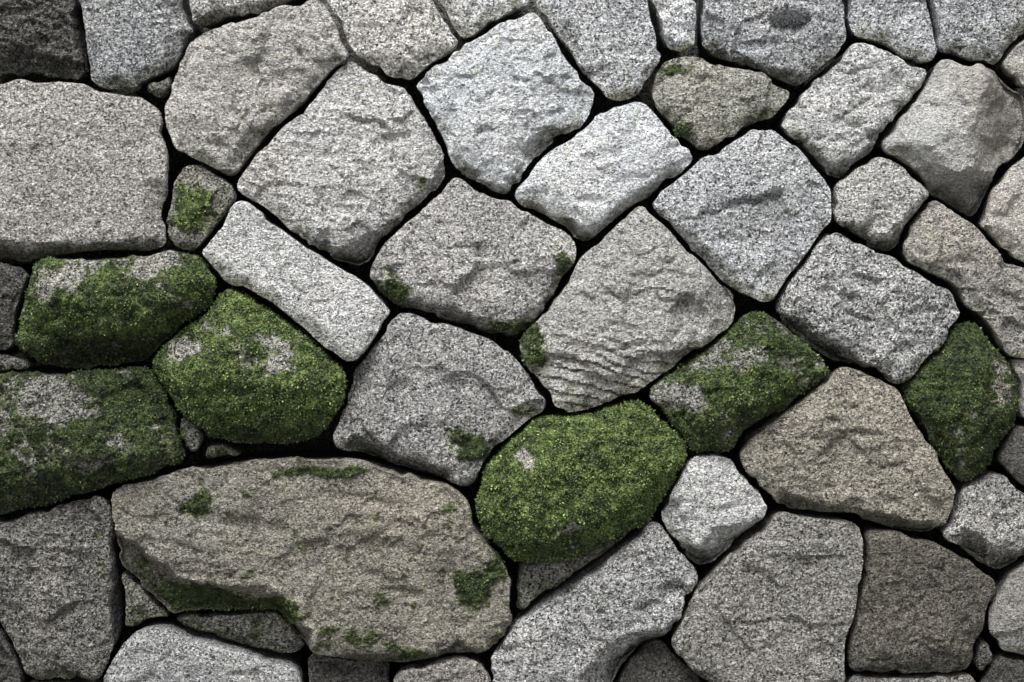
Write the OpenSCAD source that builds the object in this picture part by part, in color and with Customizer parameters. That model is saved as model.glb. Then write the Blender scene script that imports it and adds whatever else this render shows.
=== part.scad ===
// Dry stone wall: a length of double-faced, battered walling, laid without mortar.
// Two skins of face stones lean towards each other over a hearting of small stone.
// The wall stands on the XY plane and runs along X. Its front face looks to -Y.

/* [Wall] */
// Length from end to end
wall_length = 2560; // [2500:10:2680]
// Height of the wall's head above the ground
wall_height = 1700; // [1670:5:1760]
// Thickness over both faces at the ground
base_thickness = 1000; // [900:10:1200]
// Thickness over both faces at the head
head_thickness = 620; // [560:10:780]

/* [Hearting] */
// Thickness of the hearting at the ground
hearting_base = 260; // [200:10:400]
// Thickness of the hearting at the head
hearting_head = 100; // [80:10:200]
// How far the hearting stops below the head
hearting_drop = 70; // [40:10:120]

/* [Face stones] */
// Depth behind the face at which neighbouring stones come closest
joint_depth = 22; // [14:1:60]
// How far a stone's arris is worn back
arris = 6; // [3:1:14]
// Length cut from both sides of a sharp corner
corner_cut = 9; // [4:1:30]
// Share by which a stone has narrowed halfway along its tail
heel_taper = 0.05; // [0:0.01:0.1]
// Share by which a stone has narrowed at the end of its tail
tail_taper = 0.15; // [0.1:0.01:0.4]

/* [Wall ends] */
// Depth of the stones that close the ends between the two skins
closer_depth = 170; // [120:10:260]
// How far those stones stand back from the end
closer_setback = 12; // [5:1:40]
// Gap between them
closer_gap = 9; // [5:1:20]

/* [Hidden] */
// Beds of those stones: each one's height above the ground and how far its right side rises
closer_beds = [[0, 0], [262, 16], [498, -22], [786, 12], [1004, -18], [1262, 20], [1452, -12],
    [1662, 4]];

// Colours of the stone
pale_granite = [0.69, 0.68, 0.66];
cool_granite = [0.57, 0.59, 0.61];
warm_granite = [0.55, 0.52, 0.47];
brown_granite = [0.42, 0.39, 0.34];
olive_granite = [0.47, 0.45, 0.37];
mossy_granite = [0.31, 0.35, 0.20];
dark_granite = [0.26, 0.26, 0.24];

end_x = wall_length / 2;
head_z = wall_height;
sharp_turn = 42;        // a corner that turns by more than this many degrees is cut
arris_depth = 4;        // how far the worn arris lies behind the face
crown_share = 0.5;      // how far the crown's shoulder has moved in from the arris
shoulder_height = 0.75; // share of the bulge already reached at the shoulder
crown_reach = 20;       // half the length of a crown that isn't given
foot_top = 300;         // heights that part the stones of the back into four sub-parts
lower_top = 950;
upper_top = 1400;

// Each face stone is [outline, bulge, setback, crown].
// The outline is seen square to the front: x to the right, z up. The bulge is how far the
// crown stands out, and the setback how far the arris lies behind the wall's face. The
// crown is the line that stands furthest out. Without one the bulge peaks at the middle.

// Stones of the head, cut to the wall's height
rough_brown = [[[-1148, head_z - 50], [-1160, 1560], [-1156, 1448], [-980, 1425], [-905, 1412],
    [-858, 1409], [-882, 1564], [-892, head_z - 60], [-930, head_z - 14],
    [-1110, head_z - 8]], 34, 6, [[-1060, 1560], [-940, 1540]]];
blue_grey_top = [[[-864, 1480], [-851, 1412], [-828, 1386], [-768, 1379],
    [-736, 1401], [-685, 1426], [-653, 1486], [-648, 1504], [-664, 1544], [-677, head_z - 60],
    [-712, head_z - 6], [-850, head_z - 12], [-882, head_z - 50]], 30, 10];
brown_top = [[[-663, 1574], [-643, 1508], [-600, 1522], [-534, 1533], [-458, 1562],
    [-404, 1576], [-408, head_z - 66], [-450, head_z - 22], [-630, head_z - 16],
    [-666, head_z - 60]], 22, 16];
beige_top = [[[-376, 1572], [-338, 1504], [-311, 1450], [-254, 1411], [-205, 1405],
    [-167, 1438], [-116, 1468], [-114, 1482], [-162, 1562], [-170, head_z - 40],
    [-200, head_z - 8], [-340, head_z - 4], [-390, head_z - 42]], 26, 4,
    [[-300, 1560], [-200, 1500]]];
light_top = [[[-154, 1570], [-116, 1508], [-88, 1489], [-62, 1501], [-46, 1519], [-4, 1533],
    [24, 1556], [34, 1580], [32, head_z - 44], [0, head_z - 10], [-126, head_z - 14],
    [-158, head_z - 56]], 18, 8];
speckled_top = [[[50, 1568], [112, 1463], [185, 1375], [226, 1370], [268, 1405],
    [291, 1442], [290, 1490], [268, 1564], [264, head_z - 40], [230, head_z - 6],
    [84, head_z - 10], [52, head_z - 50]], 30, 2, [[140, 1540], [230, 1450]]];
narrow_top = [[[283, 1562], [301, 1482], [318, 1471], [360, 1469], [370, 1482], [373, 1564],
    [368, head_z - 46], [340, head_z - 14], [296, head_z - 18], [281, head_z - 54]], 16, 12];
scooped_top = [[[382, 1564], [383, 1486], [402, 1451], [456, 1430], [500, 1426], [521, 1410],
    [582, 1396], [610, 1422], [658, 1464], [666, 1500], [664, 1564], [656, head_z - 36],
    [610, head_z], [426, head_z - 8], [386, head_z - 56]], 36, 0, [[480, 1590], [600, 1600]]];
square_top = [[[679, 1503], [702, 1492], [750, 1476], [790, 1450], [828, 1440],
    [848, 1446], [844, 1500], [834, 1564], [830, head_z - 48], [800, head_z - 8],
    [702, head_z - 14], [676, head_z - 50]], 22, 8];
right_top = [[[842, 1570], [858, 1488], [863, 1468], [924, 1444], [962, 1436], [982, 1447],
    [1020, 1490], [1104, 1542], [1108, head_z - 50], [1062, head_z - 10], [880, head_z - 16],
    [846, head_z - 52]], 30, 6];

// Upper stones
warm_grey = [[[-646, 1484], [-600, 1505], [-510, 1530], [-430, 1556], [-385, 1557],
    [-360, 1518], [-336, 1469], [-333, 1447], [-370, 1420], [-412, 1370], [-474, 1316],
    [-530, 1248], [-562, 1207], [-606, 1239], [-655, 1266], [-678, 1272], [-692, 1324],
    [-678, 1410]], 34, 2, [[-600, 1350], [-440, 1470]]];
blue_grey = [[[-198, 1390], [-110, 1455], [-60, 1488], [0, 1524], [50, 1531],
    [126, 1421], [157, 1390], [162, 1370], [142, 1324], [72, 1280], [36, 1240], [-20, 1175],
    [-72, 1198], [-112, 1247], [-138, 1302]], 40, 0, [[-90, 1370], [60, 1440]]];
dressed = [[[-end_x, 1376], [-1024, 1384], [-976, 1396], [-904, 1389],
    [-742, 1364], [-708, 1326], [-706, 1298], [-708, 1070], [-1024, 1046], [-end_x, 1040]],
    6, 0];
waved_grey = [[[-334, 1430], [-302, 1430], [-254, 1402], [-219, 1392], [-175, 1336],
    [-142, 1270], [-156, 1182], [-222, 1130], [-264, 1088], [-302, 1031], [-362, 1046],
    [-430, 1094], [-490, 1147], [-552, 1193], [-517, 1247], [-462, 1302], [-404, 1340],
    [-386, 1376], [-356, 1408]], 30, 4, [[-430, 1220], [-240, 1290]]];
grey_wedge = [[[252, 1352], [180, 1322], [152, 1296], [74, 1254], [13, 1184], [26, 1150],
    [156, 1082], [214, 1132], [288, 1188], [341, 1219], [363, 1248], [320, 1287],
    [284, 1334]], 34, 4, [[110, 1180], [260, 1270]]];
olive_brown = [[[302, 1427], [386, 1447], [444, 1422], [500, 1412], [553, 1381], [560, 1366],
    [528, 1331], [478, 1317], [420, 1268], [378, 1266], [333, 1297], [295, 1345],
    [287, 1390]], 32, 6];
rough_light = [[[700, 1477], [643, 1430], [590, 1368], [544, 1318], [545, 1305], [606, 1251],
    [641, 1212], [667, 1208], [714, 1252], [756, 1310], [826, 1390], [840, 1418],
    [798, 1434], [748, 1464]], 26, 6, [[640, 1320], [740, 1400]]];
ridged = [[[872, 1447], [803, 1350], [748, 1284], [748, 1271], [806, 1229], [854, 1178],
    [918, 1127], [938, 1138], [976, 1216], [1016, 1256], [1040, 1302], [1030, 1368],
    [962, 1424]], 62, 0, [[940, 1400], [890, 1272]]];
small_grey = [[[740, 1243], [706, 1230], [657, 1189], [652, 1130], [692, 1095], [738, 1070],
    [770, 1072], [797, 1116], [840, 1170], [788, 1218]], 30, 8];
grooved = [[[282, 1153], [346, 1213], [476, 1299], [528, 1301], [556, 1287],
    [635, 1184], [640, 1122], [588, 1046], [525, 977], [515, 968], [424, 1005],
    [322, 1106]], 22, 2, [[400, 1130], [540, 1200]]];
tilted = [[[-626, 1052], [-546, 1154], [-430, 1078], [-298, 982], [-248, 947], [-258, 916],
    [-302, 856], [-322, 844], [-402, 894], [-498, 965], [-600, 1032]], 8, 0,
    [[-520, 1070], [-350, 930]]];
broad_beige = [[[-152, 1172], [-108, 1199], [-48, 1160], [60, 1124], [102, 1101], [117, 1080],
    [110, 1024], [74, 958], [30, 916], [0, 896], [-62, 908], [-154, 940], [-236, 960],
    [-276, 1002], [-278, 1026], [-256, 1068]], 36, 0, [[-150, 1070], [20, 1030]]];
flaky = [[[262, 1155], [292, 1124], [398, 1008], [430, 972], [448, 914], [390, 872], [322, 828],
    [250, 787], [196, 760], [150, 745], [106, 743], [62, 794], [26, 878], [66, 940],
    [150, 1038], [212, 1104]], 30, 0, [[140, 880], [290, 1000]]];
faceted_light = [[[538, 944], [562, 1000], [606, 1058], [640, 1096], [664, 1095], [700, 1067],
    [755, 1038], [804, 1019], [856, 982], [884, 968], [889, 930], [870, 884], [824, 830],
    [796, 807], [768, 806], [700, 832], [604, 876], [556, 914]], 40, 0,
    [[620, 1000], [800, 930]]];

// Middle stones
brown_right = [[[848, 1163], [809, 1108], [793, 1042], [828, 1026], [898, 998], [911, 960],
    [950, 942], [968, 896], [1010, 850], [1086, 848], [1114, 880], [1116, 940], [1096, 992],
    [1050, 1016], [996, 1038], [946, 1080], [912, 1116]], 34, 4, [[860, 1100], [1040, 930]]];
mossy_boulder_face = [[[-948, 1037], [-760, 1044], [-688, 1059], [-616, 1041], [-604, 998],
    [-616, 947], [-748, 848], [-800, 830], [-944, 832], [-992, 882],
    [-982, 968]], 56, 0, [[-880, 950], [-720, 980]]];
mossy_round = [[[-600, 953], [-576, 970], [-547, 971], [-502, 945], [-416, 885], [-357, 826],
    [-342, 798], [-348, 750], [-392, 703], [-474, 685], [-600, 691], [-644, 726],
    [-693, 790], [-723, 834], [-690, 878]], 64, 0, [[-600, 850], [-460, 800]]];
pale_speckled = [[[-250, 908], [-214, 926], [-134, 903], [-60, 878], [-4, 835], [71, 758],
    [-4, 696], [-54, 644], [-80, 598], [-130, 604], [-246, 636], [-346, 682], [-341, 722],
    [-292, 850]], 40, 4, [[-210, 800], [-60, 760]]];
mossy_long = [[[272, 766], [306, 800], [446, 903], [484, 928], [527, 931], [587, 874],
    [636, 822], [634, 805], [558, 756], [466, 699], [438, 663], [364, 666], [347, 708],
    [312, 748]], 48, 4, [[370, 770], [540, 850]]];
dark_mossy = [[[888, 900], [929, 910], [956, 890], [1001, 824], [1016, 760], [1008, 714],
    [966, 663], [946, 622], [906, 600], [886, 620], [861, 664], [820, 716], [793, 780],
    [800, 800], [858, 862]], 50, 4];
mossy_left = [[[-end_x, 808], [-860, 810], [-776, 820], [-732, 816],
    [-692, 745], [-659, 660], [-662, 642], [-760, 610], [-870, 584], [-1024, 540],
    [-end_x, 506]], 46, 0, [[-1100, 680], [-820, 720]]];
bright_moss = [[[-62, 560], [-54, 622], [-28, 658], [42, 712], [120, 728], [196, 748],
    [236, 756], [281, 726], [342, 667], [346, 641], [304, 570], [242, 505], [144, 454],
    [60, 444], [-2, 450], [-50, 500]], 66, 0, [[80, 600], [210, 640]]];
tan_triangle = [[[464, 655], [477, 688], [560, 741], [638, 800], [672, 820], [740, 806],
    [773, 774], [796, 731], [852, 660], [884, 592], [889, 556], [865, 510], [800, 503],
    [720, 527], [584, 543], [541, 564], [487, 604], [467, 623]], 30, 0,
    [[600, 660], [760, 640]]];
light_faceted = [[[352, 636], [375, 647], [422, 646], [472, 607], [498, 569], [504, 528],
    [450, 475], [392, 432], [361, 452], [311, 516], [320, 566]], 34, 0,
    [[370, 550], [460, 540]]];
small_right = [[[930, 596], [980, 616], [1014, 581], [1054, 530], [1047, 472], [1010, 441],
    [972, 425], [902, 473], [872, 490], [895, 540], [919, 582]], 28, 4];

// Lower stones
great_ledge = [[[-790, 584], [-740, 601], [-640, 617], [-588, 629], [-470, 634], [-300, 634],
    [-200, 608], [-130, 586], [-94, 552], [-84, 512], [-36, 462], [-10, 410], [-4, 340],
    [-24, 288], [-102, 260], [-194, 240], [-294, 245], [-346, 252], [-402, 266],
    [-474, 344], [-564, 340], [-684, 332], [-738, 372], [-784, 424], [-792, 490]], 22, 0,
    [[-600, 500], [-200, 400]]];
dark_left = [[[-1080, 500], [-1024, 513], [-975, 531], [-930, 527], [-880, 552], [-828, 548],
    [-818, 480], [-808, 400], [-800, 310], [-806, 270], [-836, 206], [-966, 210],
    [-1018, 320], [-1078, 382]], 30, 6, [[-940, 440], [-900, 320]]];
long_low = [[[290, 513], [326, 473], [361, 406], [343, 372], [328, 308], [264, 276],
    [214, 226], [194, 184], [140, 144], [30, 133], [-30, 164], [-37, 222], [-2, 292],
    [48, 341], [112, 382], [196, 441]], 34, 0, [[60, 240], [250, 390]]];
upright_grey = [[[540, 534], [644, 522], [682, 512], [702, 483], [704, 430], [688, 350],
    [672, 280], [660, 200], [636, 134], [560, 108], [472, 130], [400, 203], [322, 267],
    [359, 349], [454, 463]], 26, 0, [[500, 380], [580, 260]]];
olive_low = [[[718, 500], [804, 482], [874, 460], [949, 418], [966, 384], [938, 312],
    [926, 228], [792, 220], [687, 223], [684, 276], [703, 360], [715, 432]], 26, 8];
light_foot = [[[-816, 0], [-816, 200], [-774, 266], [-757, 296], [-732, 306], [-640, 284],
    [-466, 232], [-428, 205], [-424, 0]], 16, 4, [[-680, 200], [-560, 130]]];

// Stones of the foot, flat on the ground
foot_faces = [
    [[[-end_x, 0], [-end_x, 304], [-1110, 308], [-1036, 296], [-1010, 262], [-994, 200],
        [-1000, 0]], 24, 14],
    [[[-986, 0], [-978, 190], [-840, 188], [-830, 0]], 18, 22],
    [[[-410, 0], [-408, 214], [-394, 240], [-346, 232], [-296, 226], [-258, 216],
        [-252, 186], [-254, 0]], 16, 46],
    [[[-240, 0], [-240, 202], [-194, 222], [-132, 242], [-90, 236], [-62, 225], [-46, 206],
        [-44, 0]], 24, 4],
    [[[-32, 0], [-38, 142], [28, 114], [140, 124], [172, 132], [184, 96], [190, 0]], 14, 20],
    [[[202, 0], [204, 160], [238, 228], [268, 258], [306, 260], [384, 190], [446, 122],
        [436, 56], [434, 0]], 20, 44],
    [[[446, 0], [464, 104], [560, 90], [636, 112], [666, 140], [666, 0]], 16, 16],
    [[[678, 0], [680, 168], [696, 202], [740, 206], [860, 203], [920, 204], [944, 150],
        [946, 0]], 18, 10],
    [[[958, 0], [958, 206], [984, 244], [1010, 246], [1100, 228], [end_x, 222], [end_x, 0]],
        28, 10]
];

// Small stones pinned into the gaps and deep joints
pinning_faces = [
    [[[-744, 1388], [-692, 1414], [-690, 1392], [-708, 1366], [-736, 1374]], 8, 18],
    [[[-646, 1221], [-630, 1224], [-575, 1185], [-570, 1168], [-608, 1108], [-636, 1068],
        [-670, 1070], [-688, 1092], [-688, 1140], [-672, 1194]], 24, 10],
    [[[-672, 714], [-665, 724], [-655, 725], [-645, 714], [-632, 680], [-630, 668],
        [-640, 656], [-650, 658], [-660, 674], [-672, 700]], 8, 24],
    [[[-622, 673], [-598, 669], [-568, 656], [-552, 648], [-590, 640], [-616, 636],
        [-626, 650]], 6, 30],
    [[[14, 424], [116, 428], [148, 442], [196, 470], [246, 498], [252, 496], [194, 452],
        [110, 394], [46, 352], [16, 326]], 10, 52],
    [[[-790, 408], [-764, 390], [-742, 358], [-698, 320], [-736, 316], [-766, 306],
        [-788, 296]], 8, 40],
    [[[-686, 320], [-484, 330], [-428, 264], [-468, 242], [-566, 270], [-662, 300]], 10, 44],
    [[[938, 266], [948, 274], [964, 268], [968, 244], [948, 218], [938, 228]], 6, 20],
    [[[-1106, 828], [-1024, 824], [-974, 824], [-984, 840], [-1030, 850], [-1096, 848]], 6, 12]
];

// Stones that close the front skin at its two ends
left_end_faces = [
    [[[-end_x, 1390], [-end_x, head_z - 14], [-1190, head_z - 20], [-1170, 1560],
        [-1168, 1446], [-1190, 1392]], 20, 8],
    [[[-end_x, 1026], [-1024, 1030], [-980, 1007], [-990, 960], [-1010, 900], [-1016, 868],
        [-end_x, 862]], 30, 8, [[-1200, 950], [-1060, 950]]],
    [[[-end_x, 490], [-1094, 506], [-1092, 384], [-1124, 322], [-end_x, 318]], 22, 12]
];
right_end_faces = [
    [[[1116, 1414], [1122, 1536], [1120, head_z - 54], [1150, head_z - 18],
        [end_x, head_z - 12], [end_x, 1420]], 22, 10],
    [[[990, 1438], [1026, 1480], [1106, 1528], [1106, 1404], [1052, 1388], [1000, 1412]],
        16, 12],
    [[[1054, 1262], [1060, 1302], [1050, 1372], [1124, 1402], [end_x, 1408], [end_x, 1280]],
        24, 6],
    [[[1004, 1220], [978, 1190], [962, 1162], [948, 1110], [958, 1094], [1012, 1050],
        [1104, 1004], [end_x, 998], [end_x, 1268], [1150, 1262], [1040, 1248]], 36, 0,
        [[1050, 1140], [1180, 1140]]],
    [[[1128, 982], [end_x, 986], [end_x, 728], [1122, 730], [1124, 852], [1130, 940]], 34, 4],
    [[[1032, 722], [1032, 800], [1014, 838], [1110, 834], [1110, 728]], 12, 22],
    [[[990, 642], [996, 676], [1022, 704], [1100, 712], [end_x, 712], [end_x, 604],
        [1100, 598], [1034, 592], [1002, 616]], 24, 10],
    [[[1066, 484], [1070, 540], [1044, 580], [end_x, 590], [end_x, 446], [1096, 456]], 20, 8],
    [[[968, 340], [988, 376], [1012, 410], [1070, 440], [1120, 444], [end_x, 434],
        [end_x, 236], [1100, 242], [1004, 262], [978, 274]], 30, 4, [[1060, 340], [1180, 340]]]
];

// All the stones of a skin, for the back
head_faces = [blue_grey_top, brown_top, beige_top, light_top, speckled_top, narrow_top,
    square_top, right_top];
block_faces = [rough_brown, warm_grey, blue_grey, scooped_top, dressed, waved_grey,
    grey_wedge, olive_brown, rough_light, ridged, small_grey, grooved, tilted, broad_beige,
    flaky, faceted_light, brown_right, mossy_boulder_face, mossy_round, pale_speckled,
    mossy_long, dark_mossy, mossy_left, bright_moss, tan_triangle, light_faceted,
    small_right, great_ledge, dark_left, long_low, upright_grey, olive_low, light_foot];
skin_faces = concat(head_faces, block_faces, foot_faces, pinning_faces, left_end_faces,
    right_end_faces);

// Outlines
function sum(values) = values * [for (value = values) 1];
function axis_values(points, axis) = [for (point = points) point[axis]];
function middle(points) = [for (axis = [0, 1]) sum(axis_values(points, axis)) / len(points)];
function before(points, i) = points[(i + len(points) - 1) % len(points)];
function after(points, i) = points[(i + 1) % len(points)];
function unit(v) = v / norm(v);
function lerp(a, b, share) = a + (b - a) * share;
function area(points) = sum([for (i = [0:len(points) - 1]) cross(points[i], after(points, i))]);
// The outline in the order that runs anticlockwise as the front is seen
function wound(points) = area(points) > 0
    ? points
    : [for (i = [len(points) - 1:-1:0]) points[i]];
function turn_at(points, i) =
    acos(unit(points[i] - before(points, i)) * unit(after(points, i) - points[i]));
// The point a cut's length from p towards q, but never more than a third of the way
function cut_towards(p, q) = p + unit(q - p) * min(corner_cut, norm(q - p) / 3);
function eased(points) = [
    for (i = [0:len(points) - 1])
        each turn_at(points, i) > sharp_turn
            ? [cut_towards(points[i], before(points, i)), cut_towards(points[i], after(points, i))]
            : [points[i]]
];
function inward(a, b) = unit([a.y - b.y, b.x - a.x]);
function inset(points, by) = [
    for (i = [0:len(points) - 1])
        let (
            p = inward(before(points, i), points[i]),
            q = inward(points[i], after(points, i))
        )
        points[i] + by * (p + q) / (1 + p * q)
];

// Faces of the wall and of its hearting, which both lean back by their batter
function face_y(z) = -lerp(base_thickness, head_thickness, z / wall_height) / 2;
function hearting_y(z) = -lerp(hearting_base, hearting_head, z / wall_height) / 2;
function behind_face(points, depth) = [for (p = points) [p.x, face_y(p.y) + depth, p.y]];
function at_heel(points) =
    [for (p = points) [p.x, lerp(face_y(p.y), hearting_y(p.y), 0.5), p.y]];
function at_hearting(points) = [for (p = points) [p.x, hearting_y(p.y), p.y]];

// A tail narrows towards its stone's middle, but keeps to the ground and to the wall's end
function tail_anchor(outline, centre) = [
    min(axis_values(outline, 0)) <= -end_x ? -end_x
        : max(axis_values(outline, 0)) >= end_x ? end_x : centre.x,
    min(axis_values(outline, 1)) <= 0 ? 0 : centre.y
];
function drawn_in(points, anchor, share) = [for (p = points) lerp(p, anchor, share)];
function tail_middle(centre, anchor) =
    at_hearting(drawn_in([centre], anchor, tail_taper))[0];
// The nearest point to p on the crown's line
function on_crown(p, crown) =
    let (line = crown[1] - crown[0], along = (p - crown[0]) * line / (line * line))
    lerp(crown[0], crown[1], min(1, max(0, along)));
function shoulder(points, crown) =
    [for (p = points) lerp(p, on_crown(p, crown), crown_share)];

// A solid through closed rings of points, drawn to one point at the foot and one at the peak
module loft(foot, rings, peak) {
    count = len(rings[0]);
    last = (len(rings) - 1) * count;
    foot_index = last + count;
    faces = [
        for (i = [0:count - 1])
            let (next = (i + 1) % count)
            each [[foot_index, i, next], [last + next, last + i, foot_index + 1]],
        for (ring = [0:count:last - 1], i = [0:count - 1])
            let (a = ring + i, b = ring + (i + 1) % count)
            each [[a, b + count, b], [a, a + count, b + count]]
    ];
    polyhedron([for (ring = rings) each ring, foot, peak], faces);
}

// A face stone: its tail on the hearting, its joint faces, its worn arris and its crown
module stone(face) {
    outline = eased(wound(face[0]));
    centre = middle(face[0]);
    crown = is_undef(face[3]) ? [centre - [crown_reach, 0], centre + [crown_reach, 0]] : face[3];
    bulge = face[1];
    setback = face[2];
    anchor = tail_anchor(face[0], centre);
    rim = inset(outline, arris);
    peak = lerp(crown[0], crown[1], 0.5);
    loft(tail_middle(centre, anchor), [
        at_hearting(drawn_in(outline, anchor, tail_taper)),
        at_heel(drawn_in(outline, anchor, heel_taper)),
        behind_face(outline, setback + joint_depth),
        behind_face(rim, setback + arris_depth),
        behind_face(shoulder(rim, crown), setback - bulge * shoulder_height)
    ], [peak.x, face_y(peak.y) + setback - bulge, peak.y]);
}

// The same stone with fewer facets, for small stones and for the back
module plain_stone(face) {
    outline = wound(face[0]);
    centre = middle(face[0]);
    anchor = tail_anchor(face[0], centre);
    loft(tail_middle(centre, anchor), [
        at_hearting(drawn_in(outline, anchor, tail_taper)),
        behind_face(outline, face[2] + joint_depth),
        behind_face(inset(outline, arris), face[2])
    ], [centre.x, face_y(centre.y) + face[2] - face[1], centre.y]);
}

module plain_stones(faces) {
    for (face = faces) plain_stone(face);
}

// Stones of the back skin whose middle lies between two heights
module back_stones(low, high) {
    rotate([0, 0, 180])
        for (face = skin_faces)
            if (middle(face[0]).y >= low && middle(face[0]).y < high) plain_stone(face);
}

// The sub-parts
module rough_brown_stone() { color(brown_granite) stone(rough_brown); }
module warm_grey_block() { color(warm_granite) stone(warm_grey); }
module blue_grey_block() { color(cool_granite) stone(blue_grey); }
module scooped_top_stone() { color(cool_granite) stone(scooped_top); }
module dressed_slab() { color(pale_granite) stone(dressed); }
module waved_grey_block() { color(pale_granite) stone(waved_grey); }
module long_grey_wedge() { color(cool_granite) stone(grey_wedge); }
module olive_brown_stone() { color(olive_granite) stone(olive_brown); }
module rough_light_block() { color(pale_granite) stone(rough_light); }
module ridged_block() { color(warm_granite) stone(ridged); }
module small_grey_stone() { color(warm_granite) stone(small_grey); }
module grooved_block() { color(cool_granite) stone(grooved); }
module tilted_slab() { color(pale_granite) stone(tilted); }
module broad_beige_block() { color(pale_granite) stone(broad_beige); }
module flaky_wedge() { color(warm_granite) stone(flaky); }
module faceted_light_block() { color(pale_granite) stone(faceted_light); }
module brown_right_block() { color(brown_granite) stone(brown_right); }
module mossy_boulder() { color(mossy_granite) stone(mossy_boulder_face); }
module mossy_round_stone() { color(mossy_granite) stone(mossy_round); }
module pale_speckled_block() { color(pale_granite) stone(pale_speckled); }
module mossy_long_stone() { color(mossy_granite) stone(mossy_long); }
module dark_mossy_stone() { color(mossy_granite) stone(dark_mossy); }
module mossy_left_slab() { color(mossy_granite) stone(mossy_left); }
module bright_moss_stone() { color(mossy_granite) stone(bright_moss); }
module tan_triangle_stone() { color(olive_granite) stone(tan_triangle); }
module light_faceted_stone() { color(pale_granite) stone(light_faceted); }
module small_right_stone() { color(warm_granite) stone(small_right); }
module great_ledge_slab() { color(olive_granite) stone(great_ledge); }
module dark_left_block() { color(brown_granite) stone(dark_left); }
module long_low_block() { color(pale_granite) stone(long_low); }
module upright_grey_block() { color(warm_granite) stone(upright_grey); }
module olive_low_block() { color(olive_granite) stone(olive_low); }
module light_foot_stone() { color(pale_granite) stone(light_foot); }
module head_stones() { color(cool_granite) for (face = head_faces) stone(face); }
module foot_stones() { color(warm_granite) plain_stones(foot_faces); }
module pinning_stones() { color(dark_granite) plain_stones(pinning_faces); }
module left_end_stones() { color(brown_granite) plain_stones(left_end_faces); }
module right_end_stones() { color(warm_granite) plain_stones(right_end_faces); }
module back_head_stones() { color(cool_granite) back_stones(upper_top, head_z); }
module back_upper_stones() { color(warm_granite) back_stones(lower_top, upper_top); }
module back_lower_stones() { color(olive_granite) back_stones(foot_top, lower_top); }
module back_foot_stones() { color(brown_granite) back_stones(0, foot_top); }

function at_x(points, x) = [for (p = points) [x, p.x, p.y]];
// The two ends of a bed between the skins, left and right
function bed_line(bed, gap) = [
    for (side = [-1, 1])
        let (z = bed[0] + gap + side * bed[1] / 2)
        [-side * (hearting_y(z) + closer_gap / 2), z]
];
// A stone between the two skins at the wall's right end, from one bed to the next
module closer(low, high) {
    bottom = bed_line(low, low[0] == 0 ? 0 : closer_gap / 2);
    top = bed_line(high, -closer_gap / 2);
    outline = eased([bottom[0], bottom[1], top[1], top[0]]);
    centre = middle(outline);
    outer_x = end_x - closer_setback;
    loft([end_x - closer_depth, centre.x, centre.y], [
        at_x(outline, end_x - closer_depth),
        at_x(outline, outer_x - joint_depth),
        at_x(inset(outline, arris), outer_x)
    ], [outer_x + arris, centre.x, centre.y]);
}

module end_closers() {
    color(warm_granite)
        for (side = [0, 180], i = [0:len(closer_beds) - 2])
            rotate([0, 0, side]) closer(closer_beds[i], closer_beds[i + 1]);
}

// The packed small stone between the skins, as one battered mass
module hearting() {
    top = wall_height - hearting_drop;
    length = wall_length - 2 * closer_depth;
    color(dark_granite)
        rotate([90, 0, 90])
            linear_extrude(length, center = true)
                polygon([[hearting_y(0), 0], [-hearting_y(0), 0],
                    [-hearting_y(top), top], [hearting_y(top), top]]);
}

rough_brown_stone();
warm_grey_block();
blue_grey_block();
scooped_top_stone();
dressed_slab();
waved_grey_block();
long_grey_wedge();
olive_brown_stone();
rough_light_block();
ridged_block();
small_grey_stone();
grooved_block();
tilted_slab();
broad_beige_block();
flaky_wedge();
faceted_light_block();
brown_right_block();
mossy_boulder();
mossy_round_stone();
pale_speckled_block();
mossy_long_stone();
dark_mossy_stone();
mossy_left_slab();
bright_moss_stone();
tan_triangle_stone();
light_faceted_stone();
small_right_stone();
great_ledge_slab();
dark_left_block();
long_low_block();
upright_grey_block();
olive_low_block();
light_foot_stone();
head_stones();
foot_stones();
pinning_stones();
left_end_stones();
right_end_stones();
back_head_stones();
back_upper_stones();
back_lower_stones();
back_foot_stones();
end_closers();
hearting();
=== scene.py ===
import math
from collections import namedtuple

import bmesh
import bpy
import numpy as np
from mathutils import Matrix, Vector
from mathutils.bvhtree import BVHTree
from mathutils.geometry import delaunay_2d_cdt


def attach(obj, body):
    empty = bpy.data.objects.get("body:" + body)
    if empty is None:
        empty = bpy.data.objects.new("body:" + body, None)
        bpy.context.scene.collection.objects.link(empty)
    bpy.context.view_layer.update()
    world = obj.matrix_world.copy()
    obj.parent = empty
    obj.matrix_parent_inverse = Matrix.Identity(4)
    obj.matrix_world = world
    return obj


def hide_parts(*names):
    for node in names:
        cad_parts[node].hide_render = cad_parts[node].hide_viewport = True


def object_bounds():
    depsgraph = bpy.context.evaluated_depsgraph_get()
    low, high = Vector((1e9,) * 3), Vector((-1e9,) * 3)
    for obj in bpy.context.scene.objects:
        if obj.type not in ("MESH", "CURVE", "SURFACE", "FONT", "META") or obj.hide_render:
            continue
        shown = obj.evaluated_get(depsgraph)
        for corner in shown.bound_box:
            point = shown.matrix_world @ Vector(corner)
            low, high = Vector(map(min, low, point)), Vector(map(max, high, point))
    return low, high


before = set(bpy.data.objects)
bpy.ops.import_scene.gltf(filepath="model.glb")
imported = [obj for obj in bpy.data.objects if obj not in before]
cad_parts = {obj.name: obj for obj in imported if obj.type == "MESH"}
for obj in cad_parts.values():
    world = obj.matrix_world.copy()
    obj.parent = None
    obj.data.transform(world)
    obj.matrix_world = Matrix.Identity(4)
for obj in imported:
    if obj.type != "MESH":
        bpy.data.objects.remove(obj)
cad_low, cad_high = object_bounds()

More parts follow.
